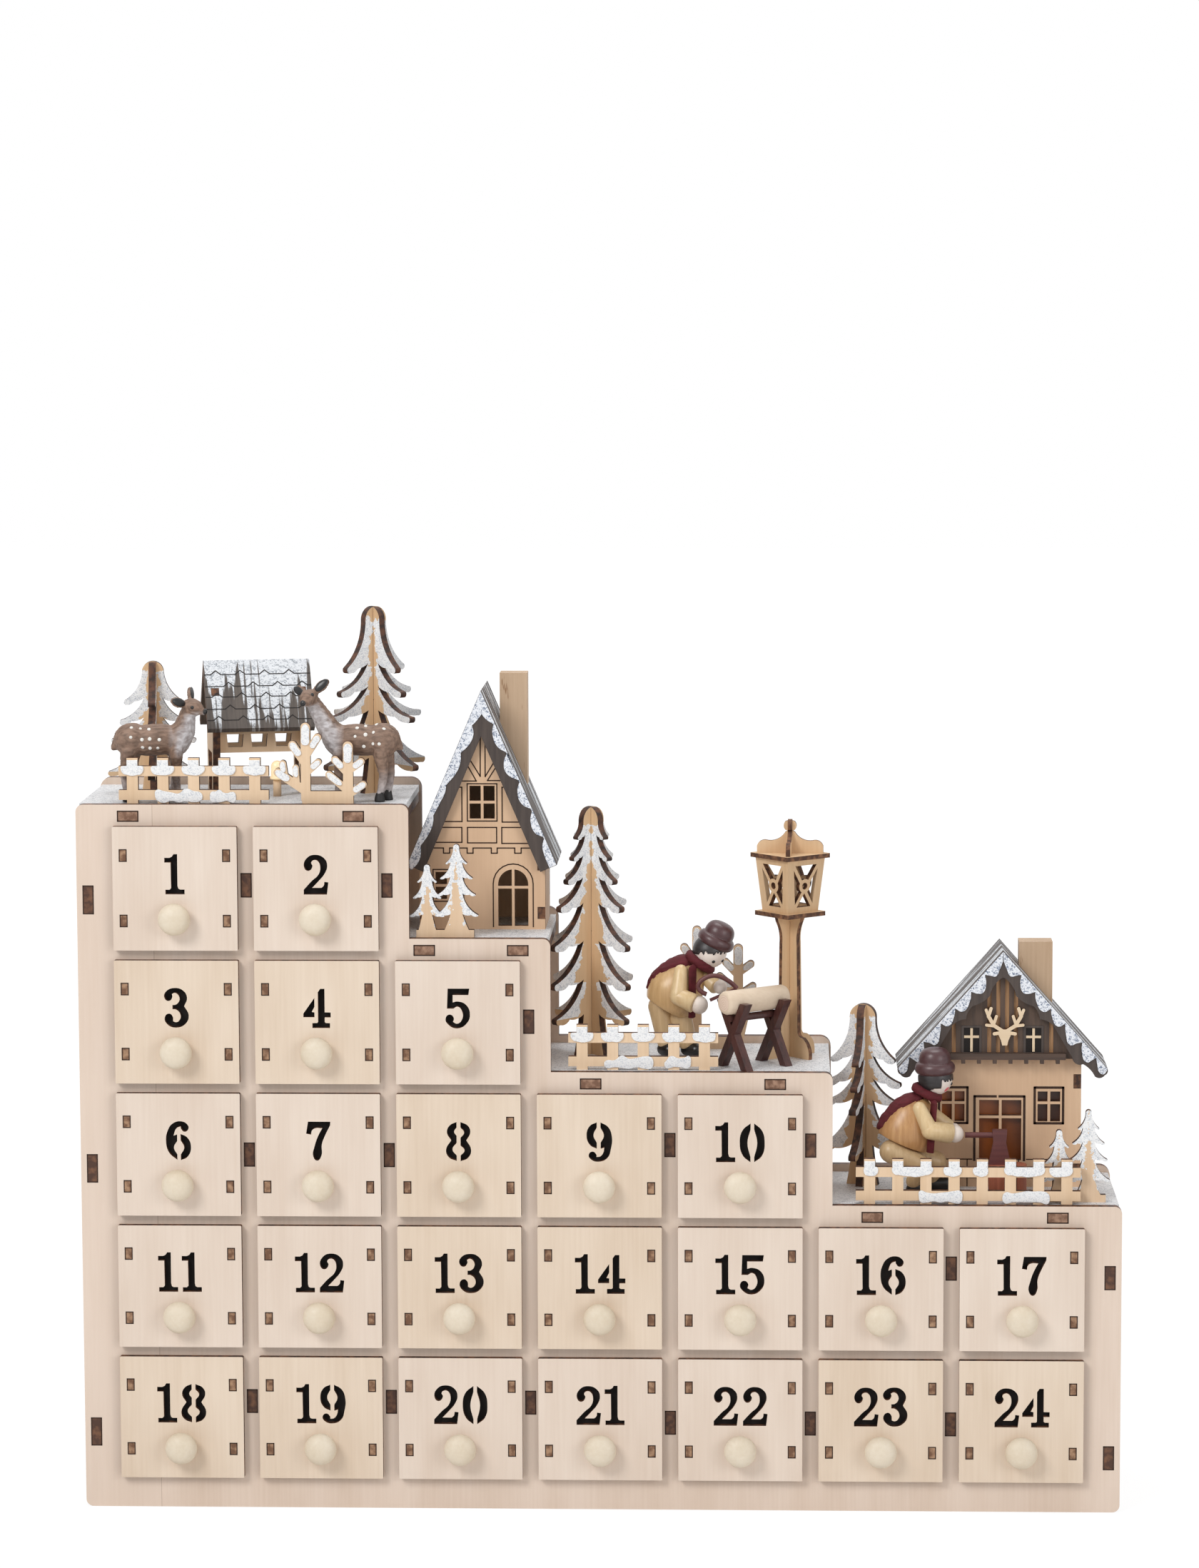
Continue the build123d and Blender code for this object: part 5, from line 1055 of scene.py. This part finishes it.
sleeve_wood = stained("sleeve_wood", (212, 181, 134), (226, 200, 156), "z", 0.33)
leg_wood = stained("leg_wood", (190, 160, 119), (208, 180, 139), "z", 0.36)
hand_paint = painted("hand_paint", (236, 223, 212), 0.45)
hat_paint = painted("beanie_paint", (84, 56, 58), 0.34, 12)
hair_paint = painted("hair_paint", (48, 43, 44), 0.4, 16)
scarf_paint = painted("scarf_paint", (92, 14, 28), 0.8, 22, 0.3)
boot_paint = painted("boot_paint", (30, 28, 28), 0.3, 10)


def facing(azimuth, rise):
    """A way by its turn from the front towards the right, and its rise, in degrees."""
    a, e = radians(azimuth), radians(rise)
    return Vector((sin(a) * cos(e), -cos(a) * cos(e), sin(e)))


def eased(points, steps=6):
    """A smooth line through points."""
    line = []
    for k in range(len(points) - 1):
        p0, p1, p2, p3 = [Vector(points[min(max(k + d, 0), len(points) - 1)]) for d in (-1, 0, 1, 2)]
        slope, bow, swing = p2 - p0, 2 * p0 - 5 * p1 + 4 * p2 - p3, 3 * p1 - p0 - 3 * p2 + p3
        for n in range(steps):
            u = n / steps
            bend = 2 * p1 + slope * u + bow * u ** 2 + swing * u ** 3
            line.append((max(bend.x / 2, 0.0), bend.y / 2))
    return line + [tuple(points[-1])]


def level_on(line, x):
    """Height of a broken line at x."""
    for (x0, z0), (x1, z1) in zip(line, line[1:]):
        if x < x1:
            return z0 + (z1 - z0) * (x - x0) / (x1 - x0)
    return line[-1][1]


BEANIE = ((0, -2.5), (5.6, -2.5), (7.2, -2.1), (8.1, -0.8), (8.1, 0.8), (7.4, 2.1), (6.6, 2.6), (6.5, 3.2),
          (6.4, 4.6), (5.7, 6.5), (4.3, 7.8), (2.3, 8.4), (0, 8.6))
FIGURES = {
    "sawyer": {
        "place": (30.9, 2.5, 179.5),
        "tone": ((194, 156, 108), (212, 177, 129)),
        "coat": ((-4.9, 0, 20.4), (0.51, 0, 0.86), 0.88,
                 [(8.4, -0.7), (9.2, -0.2), (10.5, 2.6), (11.3, 7.0), (10.3, 12),
                  (7.7, 17.3), (4.6, 20.9), (0, 22.6)]),
        "shawl": ((-14, 26.0), (-11.1, 32.8), (-7.5, 35.8), (-0.6, 38.4), (4, 38.6), (20, 38.6)),
        "legs": [((-7.8, 0, 20.5), (-5.0, 0, 6.0), 4.6, 3.8), ((0.8, 0, 16.0), (3.4, 0, 6.0), 4.8, 3.9)],
        "boots": [((-6.0, 0, 2.8), (-3.6, -3.0, 2.8), 2.8, 2.8),
                  ((3.6, 0, 2.8), (7.4, -3.0, 2.8), 2.8, 2.8)],
        "sleeves": [((1.2, -7.4, 36.0), (0.2, -10.6, 27.0), 2.8, 3.5),
                    ((0.2, -10.6, 26.2), (6.6, -13.0, 23.7), 3.6, 4.0),
                    ((8.2, 6.0, 35.0), (15.4, -4.6, 29.2), 3.2, 3.1)],
        "hands": [((8.8, -13.2, 23.1), (1, -0.2, -0.25), 3.7), ((17.2, -6.2, 29.4), (0.8, -0.6, 0), 2.9)],
        "collar": ((8.8, -1.0, 38.9), (0.55, 0, 0.83), 5.2, 1.7),
        "tail": ((6.0, -8.0, 37.0), (5.6, -7.6, 17.2), 2.1),
        "head": (13.0, -1.0, 43.4),
        "gaze": (37.0, -31.0),
        "cheek": (62.0, -44.0),
        "hair": (-2.0, -6.0),
        "hat": ((15.4, -1.2, 47.8), (0.42, -0.05, 0.9), 0.95),
    },
    "woodcutter": {
        "place": (127.5, -12.0, 125.5),
        "tone": ((176, 128, 82), (200, 155, 105)),
        "coat": ((-5.6, 0, 21.4), (0.395, 0, 0.919), 0.86,
                 [(10.0, 0), (10.7, 0.4), (11.2, 3.7), (10.4, 8.7), (8.3, 14.5), (3.9, 19.3), (0, 20.6)]),
        "shawl": ((-18, 24.0), (-13.6, 29.4), (-10.4, 33.8), (-6.7, 36.9), (-1, 39.2), (4, 40.5), (20, 41)),
        "legs": [((-10.0, -4.6, 18.2), (1.6, -5.0, 12.6), 4.8, 4.4),
                 ((-7.4, 4.6, 17.6), (8.4, 5.0, 12.0), 5.0, 4.4),
                 ((1.8, -5.0, 12.0), (-0.6, -5.0, 6.0), 4.2, 3.4),
                 ((8.4, 5.0, 12.0), (6.4, 5.0, 6.0), 4.2, 3.4)],
        "boots": [((-1.2, -5.0, 2.8), (3.2, -6.0, 2.8), 2.8, 2.8),
                  ((6.4, 5.0, 2.8), (12.4, 5.0, 2.8), 2.8, 2.8)],
        "sleeves": [((1.3, -7.6, 36.4), (5.2, -9.6, 28.4), 2.8, 3.4),
                    ((5.6, -9.6, 27.8), (13.8, -6.6, 26.2), 3.7, 4.2),
                    ((3.0, 7.2, 34.2), (13.8, 3.6, 26.6), 3.2, 3.0)],
        "hands": [((15.8, -6.0, 25.8), (1, 0.3, -0.15), 3.6), ((15.6, 2.4, 25.8), (1, -0.3, -0.1), 2.8)],
        "collar": ((4.6, 0, 41.6), (0.42, 0, 0.9), 5.0, 1.7),
        "tail": ((7.2, -6.0, 38.0), (5.6, -7.8, 18.6), 1.75),
        "head": (8.0, 0, 47.6),
        "gaze": (96.0, -17.0),
        "cheek": (41.0, -38.0),
        "hair": (-4.0, -28.0),
        "hat": ((7.7, 0, 51.7), (-0.02, 0, 1), 1.0),
    },
}
for number, (name, own) in enumerate(FIGURES.items()):
    coat, shawl, scarf, head, eyes, hair, beanie = [bmesh.new() for part in range(7)]
    hem, lean, squash, section = own["coat"]
    hem = Vector(hem)
    stand = aim(hem, lean) @ Matrix.Diagonal((squash, 1, 1, 1))
    section = [(0, section[0][1] + 0.3), *eased(section)]
    turn_on(coat, section, stand, 64)
    for vert in turn_on(shawl, [(r + 0.7, h * 1.02 + 0.3) for r, h in section], stand, 96):
        fold = 0.5 * noise.noise(vert.co * 0.45)
        if vert.co.z + fold < level_on(own["shawl"], vert.co.x):
            vert.co = hem + (vert.co - hem) * 0.84
        else:
            vert.co += (vert.co - hem).normalized() * (fold + 0.2)

    legs, boots, sleeves, hands = [bmesh.new() for part in range(4)]
    for limb in own["legs"]:
        add_limb(legs, *limb)
    for limb in own["boots"]:
        add_limb(boots, *limb)
    for limb in own["sleeves"]:
        add_limb(sleeves, *limb, flat_end=limb is not own["sleeves"][0])
    for palm, way, radius in own["hands"]:
        turn_on(hands, egg(radius * 0.95, radius), aim(palm, way), 28)

    middle, lean, reach, roll = own["collar"]
    circle = [2 * pi * k / 14 for k in range(15)]
    section = [(reach + roll * cos(a), 1.15 * roll * sin(a)) for a in circle]
    wrap = turn_on(scarf, section, aim(middle, lean), 44)
    top, foot, half = own["tail"]
    wrap += add_limb(scarf, top, foot, half, half, True, 0.4)
    for vert in wrap:
        crease = noise.noise(Vector((vert.co.x * 0.3, vert.co.y * 0.3, vert.co.z * 0.9)))
        vert.co += vert.normal * 0.4 * crease

    crown, skull = Vector(own["head"]), 6.9
    turn, dip = own["gaze"]
    spin, drop = own["cheek"]
    front_line, side_line = own["hair"]
    turn_on(head, egg(skull, skull), Matrix.Translation(crown), 36)
    for side in (-1, 1):
        way = facing(turn + side * 22.5, dip)
        turn_on(eyes, egg(0.4, 0.72, 8), aim(crown + way * skull, way), 16)
    for vert in turn_on(hair, egg(skull + 0.3, skull + 0.3, 40), Matrix.Translation(crown), 96):
        way = (vert.co - crown).normalized()
        azimuth = atan2(way.x, -way.y) * 180 / pi
        off = abs((azimuth - turn + 180) % 360 - 180)
        strand = 15.0 * noise.noise(Vector((azimuth * 0.11, 3.0, 1.0 + 4.0 * number)))
        edge = front_line + strand if off < 76 else side_line - max(off - 100, 0) * 0.5
        if way.z < sin(radians(edge)):
            vert.co = crown + (vert.co - crown) * 0.85
    brow, tip, size = own["hat"]
    turn_on(beanie, [(r * size, h * size) for r, h in eased(BEANIE, 4)], aim(brow, tip), 48)

    coat_wood = stained(name + "_coat_wood", *own["tone"], "z", 0.33)
    home = Vector(own["place"])
    cheeks = [home + crown + facing(turn + side * spin, drop) * skull for side in (-1, 1)]
    skin = face_paint(name + "_face", cheeks)
    for part, form, finish in (
        ("coat", coat, coat_wood), ("shawl", shawl, scarf_paint), ("legs", legs, leg_wood),
        ("boots", boots, boot_paint), ("sleeves", sleeves, sleeve_wood), ("hands", hands, hand_paint),
        ("scarf", scarf, scarf_paint), ("head", head, skin), ("eyes", eyes, boot_paint),
        ("hair", hair, hair_paint), ("beanie", beanie, hat_paint),
    ):
        stands_for = [name] if part == "coat" else []
        form = put(form, *own["place"])
        set_piece(f"{name}_{part}", form, [finish], stands_for=stands_for, smooth=True)

# Fawns: each is cast in resin from a clay model with a combed coat, and painted: brown back with white
# spots, pale throat, grey legs, black hooves, nose and inner ears.


def fused(form, cell):
    """Lumps of clay worked into one skin."""
    mesh = bpy.data.meshes.new("lumps")
    form.to_mesh(mesh)
    form.free()
    holder = bpy.data.objects.new("lumps", mesh)
    scene.collection.objects.link(holder)
    skin = holder.modifiers.new("skin", "REMESH")
    skin.mode, skin.voxel_size = "VOXEL", cell
    even = holder.modifiers.new("even", "SMOOTH")
    even.factor, even.iterations = 0.5, 5
    flat = bpy.data.meshes.new_from_object(holder.evaluated_get(bpy.context.evaluated_depsgraph_get()))
    bpy.data.objects.remove(holder)
    bpy.data.meshes.remove(mesh)
    model = bmesh.new()
    model.from_mesh(flat)
    bpy.data.meshes.remove(flat)
    return model


def fawn_coat(name, home, turn, twist, chin):
    """Combed brown coat with a pale throat, which turns with the neck by twist, up to the chin's height."""
    finish, node, place = new_finish(name, 0.6)
    normal = node("TexCoord").outputs["Normal"]
    own, way = own_place(node, place, turn, home), own_place(node, normal, turn)
    x, y, z = xyz(node, own)
    fur = mottle(node, own, (260.0, 1100.0, 620.0), 4.0)
    comb = spread(node, fur, 0.3, 0.7)
    tone = blend(node, comb, (100, 78, 64), (152, 124, 106))
    pale = blend(node, comb, (150, 140, 138), (214, 210, 212))
    ahead = (cos(twist), sin(twist), 0)
    forward = node("VectorMath", {0: way, 1: ahead}, operation="DOT_PRODUCT").outputs["Value"]
    throat = spread(node, forward, -0.1, 0.5)
    for value, low, high in ((z, 17, 22), (x, 6, 10), (z, chin + 1, chin - 1)):
        throat = calc(node, "MULTIPLY", throat, spread(node, value, low * mm, high * mm))
    low = calc(node, "ADD", z, calc(node, "MULTIPLY", fur, 4 * mm))
    shanks = calc(node, "MULTIPLY", spread(node, low, 16 * mm, 6 * mm), 0.8)
    tone = blend(node, calc(node, "MAXIMUM", throat, shanks), tone, pale)
    hooves = calc(node, "LESS_THAN", low, 5.6 * mm)
    lay(node, blend(node, hooves, tone, (26, 24, 24)), fur, 0.5, 0.4)
    return finish


white_dot = painted("fawn_spot", (238, 236, 230), 0.6)
LEGS = ((9.4, 9.0, 9.6, -1), (8.0, 8.6, 7.2, 1), (-9.8, -11.6, -10.6, -1), (-8.4, -9.6, -8.2, 1))
FAWNS = (
    ("left_fawn", (-179.5, -23.5, 287.5), 3.0, -26.0, (14.4, 0, 37.2),
     ((-8.5, 30), (-4.9, 29.5), (-1.5, 29.2), (-8.6, 26.3), (-4.2, 25.3), (-1.1, 25.6), (2.8, 25.3),
      (-4.0, 22.1), (-1.0, 21.8), (2.1, 21.8))),
    ("right_fawn", (-96.0, -23.5, 287.5), 178.0, 68.0, (19.8, 0, 41.0),
     ((-6.6, 31), (-10, 29.6), (-2.4, 30.4), (0.9, 29.8), (-5.8, 28.2), (-2.7, 27.3), (1.5, 26.6),
      (-8.3, 23.7), (-5.7, 23.7), (-2.0, 22.6))),
)
HOOF = ((0, 0), (2.3, 0), (2.1, 1.6), (1.6, 3.4), (0, 3.4))
for name, home, turn, head_turn, base, spots in FAWNS:
    clay, black = bmesh.new(), bmesh.new()
    turn_on(clay, egg(14.2, 6.4), aim((0, 0, 24.6), (1, 0, 0.06)))
    turn_on(clay, egg(7.4, 6.9), aim((-8.6, 0, 24.6), (1, 0, -0.1)))
    turn_on(clay, egg(7.8, 5.5), aim((9.8, 0, 24.8), (0.5, 0, 1)))
    add_limb(clay, (12.0, 0, 27.8), base, 4.8, 2.8)
    nod = Matrix.Rotation(radians(14.0), 4, "X")
    skull = Matrix.Translation(base) @ Matrix.Rotation(radians(head_turn), 4, "Z") @ nod
    turn_on(clay, egg(4.6, 3.5), skull @ aim((1.8, 0, 0.6), (1, 0, -0.25)))
    add_limb(clay, skull @ Vector((3.4, 0, 0.0)), skull @ Vector((6.2, 0, -1.2)), 2.4, 1.5)
    for side in (-1, 1):
        way = Vector((-0.38, side * 0.79, 0.49)).normalized()
        thin = (Vector((1, 0, 0)) - way * way.x).normalized()
        leaf = Matrix((thin.cross(way), thin, way)).transposed().to_4x4()
        middle = Vector((-0.2, side * 2.2, 2.4)) + way * 3.5
        ear = Matrix.Translation(middle) @ leaf @ Matrix.Diagonal((1, 0.5, 1, 1))
        cup = Matrix.Translation(middle + thin * 0.75 + way * 0.3) @ leaf @ Matrix.Diagonal((1, 0.4, 1, 1))
        turn_on(clay, egg(4.1, 2.2), skull @ ear, 20)
        turn_on(black, egg(3.4, 1.65), skull @ cup, 20)
        turn_on(black, egg(0.45, 0.75, 8), skull @ aim((3.4, side * 2.95, 1.5), (0.5, side, 0.2)), 14)
    turn_on(black, egg(0.8, 1.25, 8), skull @ aim((7.3, 0, -1.1), (1, 0, 0)), 16)
    for hip, knee, hoof, side in LEGS:
        y = side * 3.4
        add_limb(clay, (hip, y, 20.0), (knee, y, 11.0), 3.4 if hip < 0 else 2.8, 1.8)
        add_limb(clay, (knee, y, 11.0), (hoof, y, 3.2), 1.8, 1.5)
        turn_on(clay, HOOF, Matrix.Translation((hoof + 0.3, y, 0)), 20)
    add_limb(clay, (-14.0, 0, 26.4), (-16.0, 0, 21.6), 1.8, 1.3)
    skin = fused(clay, 0.5)
    skin.normal_update()
    for vert in skin.verts:
        x, y, z = vert.co
        hair = noise.noise(Vector((x * 0.5 + z * 0.25, y * 1.2, z * 1.3)))
        if z > 5:
            vert.co += vert.normal * 0.22 * hair
    bmesh.ops.recalc_face_normals(skin, faces=skin.faces)
    surface = BVHTree.FromBMesh(skin)
    dots = bmesh.new()
    for x, z in spots:
        for side in (-1, 1):
            hit, way = surface.ray_cast(Vector((x, side * 30, z)), Vector((0, -side, 0)))[:2]
            if hit is not None:
                size = 0.72 + 0.2 * noise.noise(Vector((x, z, side)))
                turn_on(dots, egg(0.22, size, 6), aim(hit, way), 12)
    turn = radians(turn)
    coat = fawn_coat(name + "_coat", home, turn, radians(head_turn * 0.6), base[2] - 1.5)
    set_piece(name + "_skin", put(skin, *home, turn), [coat], stands_for=[name], smooth=True)
    set_piece(name + "_spots", put(dots, *home, turn), [white_dot], smooth=True)
    set_piece(name + "_black_parts", put(black, *home, turn), [boot_paint], smooth=True)

# Studio: a pale floor that fades to white, a soft key light from the upper left, a fill from the right, a
# light from above and behind, and a white surround.
floor_form = bmesh.new()
bmesh.ops.create_grid(floor_form, x_segments=1, y_segments=1, size=6.0)
floor_mesh = bpy.data.meshes.new("studio_floor")
floor_form.to_mesh(floor_mesh)
floor_form.free()
floor = bpy.data.objects.new("studio_floor", floor_mesh)
scene.collection.objects.link(floor)


def in_view(node):
    """1 for what the camera sees, also in gloss or through glass, and 0 for the light thrown on."""
    rays = node("LightPath").outputs
    seen = calc(node, "MAXIMUM", rays["Is Glossy Ray"], rays["Is Transmission Ray"])
    return calc(node, "MAXIMUM", rays["Is Camera Ray"], seen)


floor_paint, node, place = new_finish("studio_floor", 0.9)
pale = node("coat", {"Base Color": (0.86, 0.86, 0.86, 1), "Specular IOR Level": 0.0})
own_white = node("Emission", {"Color": (1, 1, 1, 1), "Strength": 1.07})
away = node("VectorMath", {0: place}, operation="LENGTH").outputs["Value"]
fade = calc(node, "MULTIPLY", in_view(node), spread(node, away, 0.4, 1.4, 0.86, 1.0))
mixed = node("MixShader", {0: fade, 1: pale.outputs[0], 2: own_white.outputs[0]})
tree = floor_paint.node_tree
tree.links.new(mixed.outputs[0], tree.nodes["Material Output"].inputs["Surface"])
floor_mesh.materials.append(floor_paint)

world = bpy.data.worlds.new("studio_white")
scene.world = world
world.use_nodes = True
node = nodes_in(world.node_tree, "Background")
node("coat", {"Color": (1, 1, 1, 1), "Strength": spread(node, in_view(node), 0.0, 1.0, 0.42, 1.0)})


def soft_box(name, place, target, size, watts):
    panel = bpy.data.lights.new(name, "AREA")
    panel.shape, panel.size, panel.energy = "DISK", size, watts
    holder = bpy.data.objects.new(name, panel)
    scene.collection.objects.link(holder)
    holder.location = place
    holder.rotation_euler = (Vector(target) - Vector(place)).to_track_quat("-Z", "Y").to_euler()


soft_box("key_light", (-1.1, -1.5, 1.5), (0, 0, 0.18), 0.9, 22.0)
soft_box("fill_light", (1.4, -1.5, 0.7), (0, 0, 0.18), 1.0, 8.0)
soft_box("top_light", (0.1, 0.3, 1.6), (0, 0, 0.2), 0.9, 8.0)

# Camera: level with the top of the calendar and a little right of its middle, turned down and to the left,
# as in the photograph.
stand, pitch, yaw, roll = (71.27, -1904.43, 509.84), 0.1140, -0.0379, 0.0036
look = Vector((sin(yaw) * cos(pitch), cos(yaw) * cos(pitch), -sin(pitch)))
level_right = Vector((cos(yaw), -sin(yaw), 0))
level_down = look.cross(level_right)
right = cos(roll) * level_right + sin(roll) * level_down
down = -sin(roll) * level_right + cos(roll) * level_down
lens_data = bpy.data.cameras.new("camera")
lens_data.sensor_fit, lens_data.sensor_height, lens_data.lens = "VERTICAL", 36.0, 108.4
camera = bpy.data.objects.new("camera", lens_data)
scene.collection.objects.link(camera)
turned = Matrix((right, -down, -look)).transposed().to_4x4()
camera.matrix_world = Matrix.Translation(Vector(stand) * mm) @ turned
scene.camera = camera
scene.view_settings.view_transform = "Standard"
